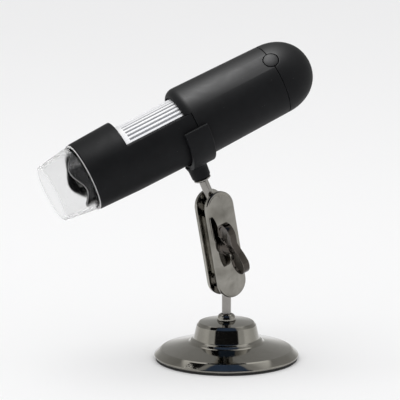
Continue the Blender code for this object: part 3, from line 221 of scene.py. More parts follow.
def placed(bm, matrix):
    bmesh.ops.transform(bm, matrix=matrix, verts=bm.verts)
    return bm


def skin(rings, looped=False):
    """A solid through rings of equally many points, closed by its end rings or by a loop."""
    bm = bmesh.new()
    rings = [[bm.verts.new(point) for point in ring] for ring in rings]
    for low, high in zip(rings, rings[1:] + rings[:1] if looped else rings[1:]):
        for index in range(len(low)):
            after = (index + 1) % len(low)
            bm.faces.new((low[index], low[after], high[after], high[index]))
    if not looped:
        bm.faces.new(rings[0])
        bm.faces.new(rings[-1])
    return bm


def add_object(name, data):
    obj = bpy.data.objects.new(name, data)
    bpy.context.scene.collection.objects.link(obj)
    return obj


def put(name, bm, where=UPRIGHT, finish=None):
    """Turns the faces outward and puts the mesh into the scene."""
    bmesh.ops.recalc_face_normals(bm, faces=bm.faces)
    if bm.calc_volume(signed=True) < 0:
        bmesh.ops.reverse_faces(bm, faces=bm.faces)
    mesh = bpy.data.meshes.new(name)
    bm.to_mesh(mesh)
    bm.free()
    obj = add_object(name, mesh)
    obj.matrix_world = where
    if finish:
        mesh.materials.append(finish)
    smooth(obj)
    return obj


def smooth(obj):
    obj.data.shade_smooth()
    obj.data.set_sharp_from_angle(angle=SMOOTH_ANGLE)


def modify(obj, kind, **settings):
    """Adds a modifier and keeps the mesh that it makes."""
    modifier = obj.modifiers.new("shape", kind)
    for key, value in settings.items():
        setattr(modifier, key, value)
    bpy.context.view_layer.update()
    graph = bpy.context.evaluated_depsgraph_get()
    mesh = bpy.data.meshes.new_from_object(obj.evaluated_get(graph))
    obj.modifiers.clear()
    obj.data = mesh
    smooth(obj)


def combine(obj, bm, operation="DIFFERENCE"):
    """Adds or cuts a shape drawn in the object's own frame."""
    helper = put(f"{obj.name}_helper", bm, obj.matrix_world.copy())
    modify(obj, "BOOLEAN", operation=operation, object=helper, solver="EXACT")
    bpy.data.objects.remove(helper)


def drill(obj, where, radius, low, high):
    """Drills a round hole along the Z axis of the place."""
    bit = turned([(0, low), (radius, low), (radius, high), (0, high)], FEW_SIDES)
    combine(obj, placed(bit, where))


def round_edges(obj, width, segments, angle):
    limits = {"limit_method": "ANGLE", "angle_limit": angle}
    modify(obj, "BEVEL", width=width, segments=segments, miter_outer="MITER_ARC", **limits)


def settle(obj):
    """Works a tilted piece's place into its mesh, so that its box fits it."""
    obj.data.transform(obj.matrix_world)
    obj.matrix_world = UPRIGHT


def stand_for(obj, body, slot, *nodes):
    """Puts a finished piece on its body, for its CAD nodes."""
    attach(obj, body)
    if nodes:
        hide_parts(*nodes)


def turn_piece(name, outline, sides, where, body, slot, *nodes):
    """Turns a piece from its outline, in its slot's finish, and puts it on its body."""
    stand_for(put(name, turned(outline, sides), where, SLOT_FINISH[slot]), body, slot, *nodes)


# Shader helpers


def add(tree, kind, inputs=None, **settings):
    """Adds a shader node. An input given as a socket is linked, and other values are set."""
    made = tree.nodes.new("ShaderNode" + kind)
    for key, value in settings.items():
        setattr(made, key, value)
    for key, value in (inputs or {}).items():
        if isinstance(value, bpy.types.NodeSocket):
            tree.links.new(value, made.inputs[key])
        else:
            made.inputs[key].default_value = value
    return made


def make_group(name, inputs, outputs):
    """An empty shader group of named numbers. Gives its tree, its inputs and its output node."""
    tree = bpy.data.node_groups.new(name, "ShaderNodeTree")
    for label, value in inputs.items():
        socket = tree.interface.new_socket(label, in_out="INPUT", socket_type="NodeSocketFloat")
        socket.default_value = value
    for label in outputs:
        tree.interface.new_socket(label, in_out="OUTPUT", socket_type="NodeSocketFloat")
    given = tree.nodes.new("NodeGroupInput")
    result = tree.nodes.new("NodeGroupOutput")
    return tree, given.outputs, result


def link(tree, node, **values):
    """Links values to a node's inputs, whose names are given with _ for a space."""
    for label, value in values.items():
        tree.links.new(value, node.inputs[label.replace("_", " ")])


def math_node(tree, operation, *values, clamp=False):
    made = add(tree, "Math", dict(enumerate(values)), operation=operation)
    made.use_clamp = clamp
    return made.outputs[0]


def dot_product(tree, *vectors):
    inputs = dict(enumerate(vectors))
    return add(tree, "VectorMath", inputs, operation="DOT_PRODUCT").outputs["Value"]


def times(tree, first, second):
    return math_node(tree, "MULTIPLY", first, second)


def add_share(tree, value, mask, share):
    """The value with a share of the mask added."""
    return math_node(tree, "ADD", value, times(tree, mask, share))


def ramp(tree, value, low, high, start=0, end=1):
    """Maps a range of a value to start and end, and holds it there outside the range."""
    inputs = {"Value": value, "From Min": low, "From Max": high, "To Min": start, "To Max": end}
    return add(tree, "MapRange", inputs, clamp=True).outputs["Result"]


def object_place(tree):
    return add(tree, "TexCoord").outputs["Object"]


def noise(tree, vector, scale, detail=2, roughness=0.5, distortion=0):
    inputs = {"Vector": vector, "Scale": scale, "Detail": detail, "Roughness": roughness}
    inputs["Distortion"] = distortion
    return add(tree, "TexNoise", inputs).outputs["Fac"]


def make_grain_group():
    """Fine pebbled grain of a moulded or coated surface, and its slow mottling."""
    inputs = {"Grain Scale": 9000, "Mottle Scale": 120}
    tree, given, result = make_group("surface_grain", inputs, ["Grain", "Mottle"])
    place = object_place(tree)
    grain = noise(tree, place, given["Grain Scale"], 3, 0.6)
    mottle = noise(tree, place, given["Mottle Scale"], 4, 0.55, 0.4)
    link(tree, result, Grain=grain, Mottle=ramp(tree, mottle, 0.3, 0.7))
    return tree


def make_wear_group():
    """Mask along outer edges, where handling polishes or thins the surface."""
    inputs = {"Width": 0.0003, "Breakup Scale": 900, "Strength": 1}
    tree, given, result = make_group("edge_wear", inputs, ["Edge"])
    bevel = add(tree, "Bevel", {"Radius": given["Width"]}, samples=4)
    normal = add(tree, "NewGeometry").outputs["Normal"]
    edge = ramp(tree, dot_product(tree, bevel.outputs["Normal"], normal), 0.999, 0.93)
    breakup = noise(tree, object_place(tree), given["Breakup Scale"], 3, 0.6)
    broken = times(tree, edge, ramp(tree, breakup, 0.3, 0.62))
    link(tree, result, Edge=math_node(tree, "MULTIPLY", broken, given["Strength"], clamp=True))
    return tree


def make_turning_group():
    """Fine rings that a lathe or a polishing wheel leaves, and the distance from the axis."""
    inputs = {"Ring Scale": 5200, "Breakup Scale": 260, "Across": 0, "Along": 1}
    tree, given, result = make_group("turning_marks", inputs, ["Rings", "Radius"])
    parts = add(tree, "SeparateXYZ", {0: object_place(tree)}).outputs
    across = times(tree, parts["X"], parts["X"])
    deep = times(tree, parts["Y"], parts["Y"])
    radius = math_node(tree, "SQRT", math_node(tree, "ADD", across, deep))
    turn = math_node(tree, "ARCTAN2", parts["Y"], parts["X"])
    turn = times(tree, turn, given["Across"])
    height = times(tree, parts["Z"], given["Along"])
    place = add(tree, "CombineXYZ", {"X": radius, "Y": turn, "Z": height})
    rings = noise(tree, place.outputs["Vector"], given["Ring Scale"], 2, 0.6)
    breakup = noise(tree, object_place(tree), given["Breakup Scale"], 2, 0.5)
    rings = times(tree, rings, ramp(tree, breakup, 0.25, 0.7, 0.4, 1))
    link(tree, result, Rings=rings, Radius=radius)
    return tree


def make_smudge_group():
    """Finger smudges, thin wiping scratches and settled dust."""
    inputs = {"Smudge Scale": 70, "Scratch Scale": 400, "Dust Scale": 1500}
    tree, given, result = make_group("handling_marks", inputs, ["Smudge", "Scratch", "Dust"])
    place = object_place(tree)
    smudge = noise(tree, place, given["Smudge Scale"], 5, 0.62, 1.2)
    link(tree, result, Smudge=ramp(tree, smudge, 0.42, 0.72))
    inputs = {"Vector": place, "Rotation": (0.4, 0.9, 0.3), "Scale": (1, 1, 14)}
    stretched = add(tree, "Mapping", inputs)
    scratch = noise(tree, stretched.outputs["Vector"], given["Scratch Scale"], 2, 0.5)
    link(tree, result, Scratch=ramp(tree, scratch, 0.66, 0.72))
    inputs = {"Vector": place, "Scale": given["Dust Scale"], "Randomness": 1}
    cells = add(tree, "TexVoronoi", inputs).outputs
    near = ramp(tree, cells["Distance"], 0.1, 0.05)
    chosen = add(tree, "SeparateColor", {0: cells["Color"]}).outputs["Red"]
    few = ramp(tree, chosen, 0.93, 0.95)
    link(tree, result, Dust=times(tree, near, few))
    return tree


GRAIN = make_grain_group()
WEAR = make_wear_group()
TURNING = make_turning_group()
MARKS = make_smudge_group()


def use_group(tree, group, **values):
    made = add(tree, "Group", node_tree=group)
    for label, value in values.items():
        made.inputs[label.replace("_", " ")].default_value = value
    return made.outputs


def start_finish(name, **values):
    """A material, its tree and its Principled shader with the given values."""
    finish = bpy.data.materials.new(name)
    finish.use_nodes = True
    tree = finish.node_tree
    shader = tree.nodes["Principled BSDF"]
    for label, value in values.items():
        shader.inputs[label.replace("_", " ").title().replace("Ior", "IOR")].default_value = value
    return finish, tree, shader


def mixed_colour(tree, share, *colours):
    """Blends two colours, which are sockets 6 and 7 of a Mix node whose result is output 2."""
    inputs = {0: share}
    for socket, colour in zip((6, 7), colours):
        inputs[socket] = colour if isinstance(colour, bpy.types.NodeSocket) else (*colour, 1)
    return add(tree, "Mix", inputs, data_type="RGBA").outputs[2]


def bump(tree, shader, height, strength, distance):
    inputs = {"Height": height, "Strength": strength, "Distance": distance}
    link(tree, shader, Normal=add(tree, "Bump", inputs).outputs["Normal"])


def plastic(
    name, dark, light, worn, rough, grain_scale=9000, grain_depth=0.00001, wear_width=0.00025,
    **values,
):
    """Moulded or coated plastic: grained, a little mottled, polished at its edges, a bit dusty."""
    finish, tree, shader = start_finish(name, **values)
    grain = use_group(tree, GRAIN, Grain_Scale=grain_scale, Mottle_Scale=160)
    edge = use_group(tree, WEAR, Width=wear_width, Breakup_Scale=700, Strength=0.8)["Edge"]
    marks = use_group(tree, MARKS, Smudge_Scale=60, Dust_Scale=900)
    body = mixed_colour(tree, grain["Mottle"], dark, light)
    body = mixed_colour(tree, edge, body, worn)
    body = mixed_colour(tree, times(tree, marks["Dust"], 0.35), body, (0.3, 0.3, 0.29))
    roughness = ramp(tree, grain["Grain"], 0.2, 0.8, rough - 0.04, rough + 0.05)
    roughness = add_share(tree, roughness, marks["Smudge"], -0.07)
    roughness = add_share(tree, roughness, edge, -0.1)
    link(tree, shader, Base_Color=body, Roughness=roughness)
    bump(tree, shader, grain["Grain"], 0.35, grain_depth)
    return finish


def metal(
    name, colour, tone, worn, rough, ring_scale=5200, ring_depth=0.000002, wear_width=0.00025,
    across=0, along=1, waves=0.00003, grooves=None, metallic=1,
):
    """Turned, plated or polished metal: rings, smudges, hairline scratches and brighter edges.

    across and along stretch the rings round the axis and along it. waves is the depth of the slow
    unevenness that bends reflections. grooves gives the radii of the groove floors, and the colour
    of the shade painted into them.
    """
    finish, tree, shader = start_finish(name, metallic=metallic)
    grain = use_group(tree, GRAIN, Grain_Scale=4000, Mottle_Scale=90)
    wear = use_group(tree, WEAR, Width=wear_width, Breakup_Scale=500, Strength=0.7)
    turning = use_group(
        tree, TURNING, Ring_Scale=ring_scale, Breakup_Scale=240, Across=across, Along=along
    )
    rings = turning["Rings"]
    marks = use_group(tree, MARKS, Smudge_Scale=55, Scratch_Scale=320, Dust_Scale=1100)
    body = mixed_colour(tree, grain["Mottle"], colour, tone)
    body = mixed_colour(tree, wear["Edge"], body, worn)
    # Painted shade: surface below the groove radii, found by its distance from the axis, darkens
    # to the given colour
    if grooves:
        low, high, groove_shade_colour = grooves
        deep = ramp(tree, turning["Radius"], high, low)
        body = mixed_colour(tree, deep, body, groove_shade_colour)
    body = mixed_colour(tree, times(tree, marks["Dust"], 0.3), body, (0.4, 0.4, 0.38))
    roughness = ramp(tree, rings, 0.15, 0.7, rough * 0.8, rough * 1.2)
    for mark, share in (("Smudge", 0.05), ("Scratch", 0.1), ("Dust", 0.4)):
        roughness = add_share(tree, roughness, marks[mark], share)
    link(tree, shader, Base_Color=body, Roughness=roughness)
    uneven = noise(tree, object_place(tree), 75, 1, 0.4)
    height = math_node(tree, "MULTIPLY_ADD", rings, ring_depth / waves, uneven)
    bump(tree, shader, height, 1, waves)
    return finish


def clear_plastic(name, colour, rough, ior, wear=0.12, **values):
    """Clear moulding or glass: smudged, scratched and worn in its roughness, and wavy."""
    finish, tree, shader = start_finish(name, transmission_weight=1, ior=ior, **values)
    shader.inputs["Base Color"].default_value = (*colour, 1)
    marks = use_group(tree, MARKS, Smudge_Scale=45, Scratch_Scale=260, Dust_Scale=800)
    edge = use_group(tree, WEAR, Width=0.0002, Breakup_Scale=900, Strength=1)["Edge"]
    roughness = add_share(tree, rough, marks["Smudge"], 0.03)
    roughness = add_share(tree, roughness, edge, wear)
    roughness = add_share(tree, roughness, marks["Scratch"], 0.05)
    link(tree, shader, Roughness=roughness)
    flow = noise(tree, object_place(tree), 140, 2, 0.5, 0.8)
    bump(tree, shader, flow, 0.12, 0.0001)
    return finish


FINE = {"grain_scale": 5000, "grain_depth": 0.000004}
SOFT_BLACK = plastic(
    "soft_touch_black", (0.0048, 0.0051, 0.006), (0.0068, 0.0072, 0.0083), (0.05, 0.052, 0.056),
    rough=0.56, specular_ior_level=0.13,
)
GLOSS_BLACK = plastic(
    "gloss_black", (0.01, 0.01, 0.011), (0.014, 0.014, 0.015), (0.05, 0.05, 0.05),
    rough=0.24, **FINE,
)
SHROUD_BLACK = plastic(
    "shroud_black", (0.005, 0.005, 0.006), (0.009, 0.009, 0.01), (0.45, 0.45, 0.45),
    rough=0.14, wear_width=0.0004, specular_ior_level=0.4, **FINE,
)
# Painted highlight: light grey for the outside of the shroud's front edge, standing in for the
# light line it catches
SHROUD_RIM_PAINTED_HIGHLIGHT = plastic(
    "shroud_rim_painted_highlight", (0.2, 0.2, 0.205), (0.3, 0.3, 0.3), (0.45, 0.45, 0.45),
    rough=0.35, **FINE,
)
CLEAR_NOSE = clear_plastic(
    "clear_nose_plastic", (0.88, 0.882, 0.882), rough=0.22, ior=1.07, alpha=0.72
)
# Pale, half-clear plastic for the nose's edges: partly frosting, partly a painted highlight for
# the light they catch
FROSTED_RIM_AND_PAINTED_HIGHLIGHT = plastic(
    "frosted_nose_rim_painted_highlight", (0.78, 0.79, 0.79), (0.86, 0.86, 0.86), (0.95, 0.95, 0.95),
    rough=0.4, grain_scale=6000, alpha=0.65,
)
LENS_GLASS = clear_plastic("coated_lens_glass", (0.9, 0.93, 0.97), rough=0, ior=1.52, wear=0.02)
LAMP_EPOXY = clear_plastic("lamp_epoxy", (0.93, 0.98, 0.92), rough=0.015, ior=1.5, wear=0.05)
WHEEL_SILVER = metal(
    "wheel_satin_silver", (0.82, 0.825, 0.84), (0.87, 0.87, 0.875), (0.92, 0.92, 0.92),
    rough=0.42, ring_scale=2600, across=0.013, along=0.02,
    # Painted shade in the grooves: radii of the groove floors and their darker colour
    grooves=(0.01262, 0.013, (0.22, 0.225, 0.24)), metallic=0.35,
)
GUNMETAL = metal(
    "gunmetal_plate", (0.245, 0.234, 0.207), (0.295, 0.283, 0.255), (0.8, 0.79, 0.76),
    rough=0.07, wear_width=0.0004,
)
ARM_METAL = metal(
    "gunmetal_arm_plate", (0.165, 0.158, 0.138), (0.345, 0.333, 0.303), (0.6, 0.59, 0.56),
    rough=0.06, ring_scale=700, waves=0.0003,
)
DARK_NICKEL = metal(
    "dark_nickel_plate", (0.06, 0.053, 0.047), (0.095, 0.084, 0.074), (0.33, 0.3, 0.27),
    rough=0.13, ring_scale=900,
)
BRIGHT_STEEL = metal(
    "turned_bright_steel", (0.25, 0.24, 0.225), (0.33, 0.318, 0.3), (0.66, 0.65, 0.63), rough=0.18
)
BRASS = metal(
    "turned_brass", (0.62, 0.45, 0.2), (0.72, 0.55, 0.28), (0.85, 0.7, 0.42), rough=0.26
)
IRON = metal(
    "painted_cast_iron", (0.07, 0.07, 0.07), (0.11, 0.11, 0.105), (0.25, 0.24, 0.23),
    rough=0.55, ring_scale=900, ring_depth=0.00002,
)
RUBBER = plastic(
    "black_rubber", (0.014, 0.014, 0.014), (0.022, 0.022, 0.021), (0.04, 0.04, 0.04),
    rough=0.78, grain_scale=3500, grain_depth=0.00003,
)
GREEN_BOARD = plastic(
    "green_solder_mask", (0.012, 0.09, 0.045), (0.02, 0.13, 0.065), (0.35, 0.36, 0.2),
    rough=0.38, grain_scale=2500,
)
WHITE_BOARD = plastic(
    "white_solder_mask", (0.66, 0.67, 0.65), (0.75, 0.76, 0.74), (0.7, 0.66, 0.5),
    rough=0.42, grain_scale=2500,
)
CHIP = plastic(
    "chip_moulding", (0.016, 0.016, 0.018), (0.03, 0.03, 0.033), (0.08, 0.08, 0.08),
    rough=0.5, grain_scale=5000,
)

SLOT_FINISH = dict(
    body_black=SOFT_BLACK, inner_black=GLOSS_BLACK, clear_nose=CLEAR_NOSE,
    wheel_silver=WHEEL_SILVER, gunmetal=GUNMETAL, dark_nickel=DARK_NICKEL,
    bright_steel=BRIGHT_STEEL, insert_brass=BRASS, ballast_iron=IRON, black_rubber=RUBBER,
    circuit_green=GREEN_BOARD, circuit_white=WHITE_BOARD, chip_black=CHIP,
    lens_glass=LENS_GLASS, lamp_epoxy=LAMP_EPOXY,
)


def finish_frame_nodes():
    """Gives each carried-over CAD node the procedural finish of its slot."""
    for part in frame["record"]["subparts"]:
        obj = frame["nodes"][part["node"]]
        obj.data.materials.clear()
        obj.data.materials.append(SLOT_FINISH[part["material_slot"]])


# The microscope's shells


def make_front_barrel():
    """Front shell: a tube with a shelf inside and, behind it, the trough under the wheel."""
    rear = SLEEVE_START - 0.0003
    shelf_rear = 0.0183
    shelf_front = shelf_rear - 0.0018
    corners = [
        (NOSE_BORE, 0, 0.0002), (FRONT_RADIUS, 0, 0.00025), (WINDOW_RADIUS, FRONT_LENGTH, 0),
        (TROUGH_REAR_RADIUS, rear, 0.0002), (WHEEL_BORE, rear, 0), (WHEEL_BORE, shelf_rear, 0),
        (CORE_HOLE, shelf_rear, 0), (CORE_HOLE, shelf_front, 0), (NOSE_BORE, shelf_front, 0),
    ]
    obj = put("front_barrel_shell", turned(rounded(corners), WIDE_SIDES), SCOPE, SOFT_BLACK)
    low = (WINDOW_RIM_HEIGHT, -CUTTER_REACH, FRONT_LENGTH)
    combine(obj, box(low, (CUTTER_REACH, CUTTER_REACH, SLEEVE_START + CUTTER_REACH)))
    round_edges(obj, 0.00035, 4, radians(32))
    stand_for(obj, "microscope", "body_black", "front_barrel")


def make_rear_sleeve():
    """Rear shell: it rolls over into a thick lip above the window, flat below."""
    rear = SEAM_STATION - SEAM_GAP / 2
    ledge_start, ledge_end, ledge_bore = 0.0717, 0.0767, 0.0115
    inside = SLEEVE_RADIUS - SHELL_WALL
    lip_rear = SLEEVE_START + 0.0014
    lip_bore = WHEEL_BORE + 0.0002
    lip_height = SLEEVE_RADIUS - WHEEL_BORE - 0.0002
    outline = []
    for turn in sweep(0, QUARTER, 14):
        station = SLEEVE_START - LIP_REACH * cos(turn) ** LIP_FULLNESS[0]
        station += 0.0009 * sin(turn)
        outline.append((lip_bore + lip_height * sin(turn) ** LIP_FULLNESS[1], station))
    outline += rounded([
        (SLEEVE_RADIUS, SLEEVE_START + 0.001, 0), (SEAM_RADIUS, rear, 0.00018),
        (SLEEVE_BORE, rear, 0), (SLEEVE_BORE, ledge_end, 0), (ledge_bore, ledge_end, 0),
        (ledge_bore, ledge_start, 0), (inside, ledge_start, 0), (inside, lip_rear, 0),
        (WHEEL_BORE, lip_rear, 0), (WHEEL_BORE, SLEEVE_START, 0),
    ])[1:]
    obj = put("rear_sleeve_shell", turned(outline, WIDE_SIDES), SCOPE, SOFT_BLACK)
    low = (-CUTTER_REACH, -CUTTER_REACH, SLEEVE_START - CUTTER_REACH)
    combine(obj, box(low, (WINDOW_RIM_HEIGHT + 0.0003, CUTTER_REACH, SLEEVE_START)))
    finish_rear_shell(obj, "rear_sleeve")


def button_pocket():
    """Round hole across the seam, drawn upright and turned to the button's side."""
    low, high, wide, narrow = 0.0081, 0.0182, 0.0044, 0.0037
    corners = [(0, low), (wide, low), (wide, SLEEVE_BORE), (narrow, SLEEVE_BORE), (narrow, high)]
    return placed(turned(corners + [(0, high)], FEW_SIDES), SCOPE.inverted() @ BUTTON)


def finish_rear_shell(obj, node):
    """Cuts the button's pocket, rounds the edges and puts the shell on the microscope."""
    combine(obj, button_pocket())
    round_edges(obj, 0.00018, 3, radians(38))
    settle(obj)
    stand_for(obj, "microscope", "body_black", node)


def dome_outline(radius, length, steps):
    """Quarter of an oval, a little fuller than an ellipse, from the seam to the dome's end."""
    share = 2 / DOME_FULLNESS
    points = []
    for turn in sweep(0, QUARTER, steps):
        station = SEAM_STATION + length * sin(turn) ** share
        points.append((radius * cos(turn) ** share, station))
    return points


def make_end_cap():
    """Dome with the inlet's hole in its end and a spigot that enters the sleeve."""
    front = SEAM_STATION + SEAM_GAP / 2
    hole = 0.0029
    spigot = SLEEVE_BORE - 0.0003
    spigot_bore = spigot - 0.0011
    spigot_front = SEAM_STATION - 0.0034
    outer = [point for point in dome_outline(SEAM_RADIUS, DOME_LENGTH, 40) if point[0] > hole][1:]
    inner = dome_outline(SEAM_RADIUS - SHELL_WALL, DOME_LENGTH - SHELL_WALL, 20)
    inner = [point for point in inner if point[0] > hole]
    outline = [(SEAM_RADIUS - 0.00018, front), (SEAM_RADIUS - 0.00004, front + 0.00006)]
    outline += [point for point in outer if point[1] > front + 0.0002]
    outline += [(hole, outer[-1][1] + 0.00025), (hole, inner[-1][1] + 0.0002)]
    outline += inner[::-1][:-1]
    outline += [(spigot_bore, SEAM_STATION), (spigot_bore, spigot_front)]
    outline += [(spigot, spigot_front), (spigot, front)]
    obj = put("end_cap_dome", turned(outline, WIDE_SIDES), SCOPE, SOFT_BLACK)
    finish_rear_shell(obj, "end_cap")


def make_snapshot_button():
    """Button: a stem that meets the switch, a flange under the shells and a shallow dome."""
    stem, flange, cap = 0.0015, 0.0041, 0.0033
    low, flange_low, flange_high = 0.0123, 0.01283, 0.01353
    top = SEAM_RADIUS + 0.0001
    corners = [
        (0, low, 0), (stem, low, 0), (stem, flange_low, 0), (flange, flange_low, 0),
        (flange, flange_high, 0), (cap, flange_high, 0), (cap, top - 0.0003, 0.00025),
        (stem, top - 0.00005, 0), (0, top, 0),
    ]
    obj = put("snapshot_button_cap", turned(rounded(corners), FEW_SIDES), BUTTON, SOFT_BLACK)
    settle(obj)
    stand_for(obj, "snapshot_button", "body_black", "snapshot_button")


def make_nose():
    """Clear nose: spigot, flange and kinked cone. Its flange rim and mouth are pale: frosting plus
    a painted highlight.
    """
    spigot, bore, flange = 0.01383, 0.01283, 0.01533
    rear, flange_rear, rim_front = 0.006, -0.0003, -0.0007
    shoulder, kink, mouth = -0.0012, -0.0075, -0.0163
    corners = [
        (spigot, rear, 0.0002), (spigot, flange_rear, 0), (flange, flange_rear, 0.00015),
        (flange, rim_front, 0), (flange, shoulder, 0.0002), (0.015, shoulder, 0.0001),
        (0.0141, kink, 0.0015), (0.0129, mouth, 0.0003), (0.0118, mouth, 0.0003),
        (0.013, kink, 0.0015), (bore, -0.0023, 0.0003), (bore, rear, 0.0002),
    ]
    obj = put("nose_cone", turned(rounded(corners, 5), WIDE_SIDES), SCOPE, CLEAR_NOSE)
    obj.data.materials.append(FROSTED_RIM_AND_PAINTED_HIGHLIGHT)
    # Frosting and painted highlight: the flange's rim and the mouth take the pale finish
    for face in obj.data.polygons:
        radius, station = hypot(face.center.x, face.center.y), face.center.z
        at_flange = radius > flange - 0.00018 and rim_front < station < flange_rear + 0.00005
        face.material_index = int(at_flange or station < mouth + 0.0002)
    stand_for(obj, "microscope", "clear_nose", "nose_cap")


def make_lamp_shroud():
    """Black tube with a wavy front edge, painted light grey along its outside as a highlight, and
    a shelf behind the lamps.
    """
    inside = SHROUD_RADIUS - 0.0009
    rear, shelf_rear, shelf_front, fillet = 0.0144, 0.0054, 0.0044, 0.0003
    shelf_bore = inside - 0.0017
    corners = [
        (inside, -SHROUD_REACH, fillet), (SHROUD_RADIUS, -SHROUD_REACH, fillet),
        (SHROUD_RADIUS, rear, 0), (inside, rear, 0), (inside, shelf_rear, 0),
        (shelf_bore, shelf_rear, 0), (shelf_bore, shelf_front, 0), (inside, shelf_front, 0),
    ]
    bm = turned(rounded(corners, 5), WIDE_SIDES)
    # Painted highlight: faces on the outside of the rounded front edge get the light grey finish
    for face in bm.faces:
        middle = face.calc_center_median()
        at_rim = middle.z < -SHROUD_REACH + fillet
        outside = hypot(middle.x, middle.y) > SHROUD_RADIUS - 0.0004
        face.material_index = int(at_rim and outside)
    for vert in bm.verts:
        if vert.co.z < -SHROUD_REACH / 2:
            angle = atan2(vert.co.y, vert.co.x)
            for count, height, crest in SHROUD_WAVES:
                vert.co.z -= height * cos(count * (angle - radians(crest)))
    obj = put("wavy_shroud", bm, SCOPE, SHROUD_BLACK)
    obj.data.materials.append(SHROUD_RIM_PAINTED_HIGHLIGHT)
    stand_for(obj, "microscope", "inner_black", "lamp_shroud")


def make_lamps():
    """Clear lamps, each with a metal cup inside."""
    seat, radius, rim, length = 0.0028, 0.0015, 0.0018, 0.0052
    neck = seat - length + radius
    rim_front = seat - 0.0006
    turns = sweep(0, QUARTER, 10)
    lamp = [(radius * sin(turn), neck - radius * cos(turn)) for turn in turns]
    lamp += rounded([
        (radius, rim_front, 0.0001), (rim, rim_front, 0.0001), (rim, seat, 0.0001), (0, seat, 0)
    ])
    cup = rounded([
        (0, 0.0004, 0), (0.0003, 0.0004, 0), (0.00062, -0.0002, 0.00005),
        (0.00085, -0.0002, 0.00005), (0.00085, 0.0012, 0.0001), (0.0004, 0.0014, 0),
        (0.0004, 0.0022, 0), (0, 0.0022, 0),
    ], 2)
    for index in range(LAMP_COUNT):
        turn = FIRST_LAMP + tau * index / LAMP_COUNT
        where = SCOPE @ Matrix.Translation((*polar(LAMP_CIRCLE, turn), 0))
        lens, led = f"lamp_lens_{index + 1}", f"white_led_{index + 1}"
        turn_piece(lens, lamp, 32, where, "microscope", "lamp_epoxy", led)
        turn_piece(f"lamp_cup_{index + 1}", cup, 24, where, "microscope", "bright_steel")


def make_lamp_board():
    bore, radius, low, high, fillet = 0.00664, 0.0112, 0.0031, 0.0041, 0.0001
    corners = [(bore, low), (radius, low), (radius, high), (bore, high)]
    outline = rounded([(*corner, fillet) for corner in corners], 2)
    held = "microscope", "circuit_white", "led_board"
    turn_piece("lamp_board_ring", outline, SIDES, SCOPE, *held)


def make_lens():
    """Lens barrel with stepped baffles, its ring and its domed glass."""
    outer, front, rear, seat = 0.00603, 0.007, 0.036, 0.0113
    inside = outer - 0.0013
    tail_bore = inside - 0.0006
    corners = [
        (inside + 0.0005, front, 0.00015), (outer, front, 0.00025), (outer, rear, 0.0002),
        (tail_bore, rear, 0), (tail_bore, seat, 0), (inside, seat, 0), (inside, 0.0088, 0),
        (inside + 0.0002, 0.0088, 0), (inside + 0.0002, 0.008, 0),
        (inside + 0.0004, 0.008, 0),
    ]
    held = "lens_carriage", "inner_black", "lens_barrel"
    turn_piece("lens_tube", rounded(corners), SIDES, SCOPE, *held)
    radius = inside - 0.0003
    front, rear, bulge = 0.0091, 0.0103, 0.0007
    shares = sweep(0, 1, 12)
    outline = [(radius * share, front - bulge * (1 - share**2)) for share in shares]
    outline += [(radius * share, rear + bulge * (1 - share**2)) for share in reversed(shares)]
    held = "lens_carriage", "lens_glass", "objective_lens"
    turn_piece("domed_lens", outline, SIDES, SCOPE, *held)
    low, high, bore = 0.00785, 0.00845, radius - 0.00065
    corners = [(bore, low, 0.00012), (radius, low, 0.0001), (radius, high, 0)]
    outline = rounded(corners + [(bore, high, 0.00012)])
    held = "lens_carriage", "bright_steel", "lens_retaining_ring"
    turn_piece("lens_front_ring", outline, SIDES, SCOPE, *held)


def clamped(value):
    return min(max(value, 0), 1)


def make_focus_wheel():
    """Tube of rounded ridges and grooves behind a plain collar."""
    bore = WHEEL_RADIUS - 0.0011
    per_rib, round_over, run_out = 12, 0.0002, 0.0006
    count = RIB_COUNT * per_rib
    stations = [WHEEL_START, WHEEL_START + round_over / 2, WHEEL_START + round_over]
    beyond = [-0.0003] + [0.0001 * step for step in range(7)]
    beyond += [0.004 * step for step in range(1, 10)]
    stations += [WHEEL_COLLAR_END + offset for offset in beyond] + [WHEEL_END]
    # Ridge tops stay on the outer radius, and the grooves between them have sloped walls
    grooves = []
    for index in range(count):
        phase = abs((index + 0.5) % per_rib / per_rib - 0.5) * 2
        groove = clamped((GROOVE_SHARE - phase) / GROOVE_WALL_SHARE)
        grooves.append(groove * groove * (3 - 2 * groove))
    turns = [tau * (index + 0.5) / count for index in range(count)]
    rings = []
    for station in stations:
        start = sqrt(1 - (1 - clamped((station - WHEEL_COLLAR_END) / run_out)) ** 2)
        edge = max(WHEEL_START + round_over - station, 0) ** 2 / round_over
        drops = [RIB_DEPTH * groove * start + edge for groove in grooves]
        outline = [polar(WHEEL_RADIUS - drop, turn) for drop, turn in zip(drops, turns)]
        rings.append([(*point, station) for point in outline])
    for station in (WHEEL_END, WHEEL_START):
        rings.append([(*polar(bore, turn), station) for turn in turns])
    obj = put("ribbed_wheel", skin(rings, looped=True), SCOPE, WHEEL_SILVER)
    stand_for(obj, "focus_wheel", "wheel_silver", "focus_wheel")


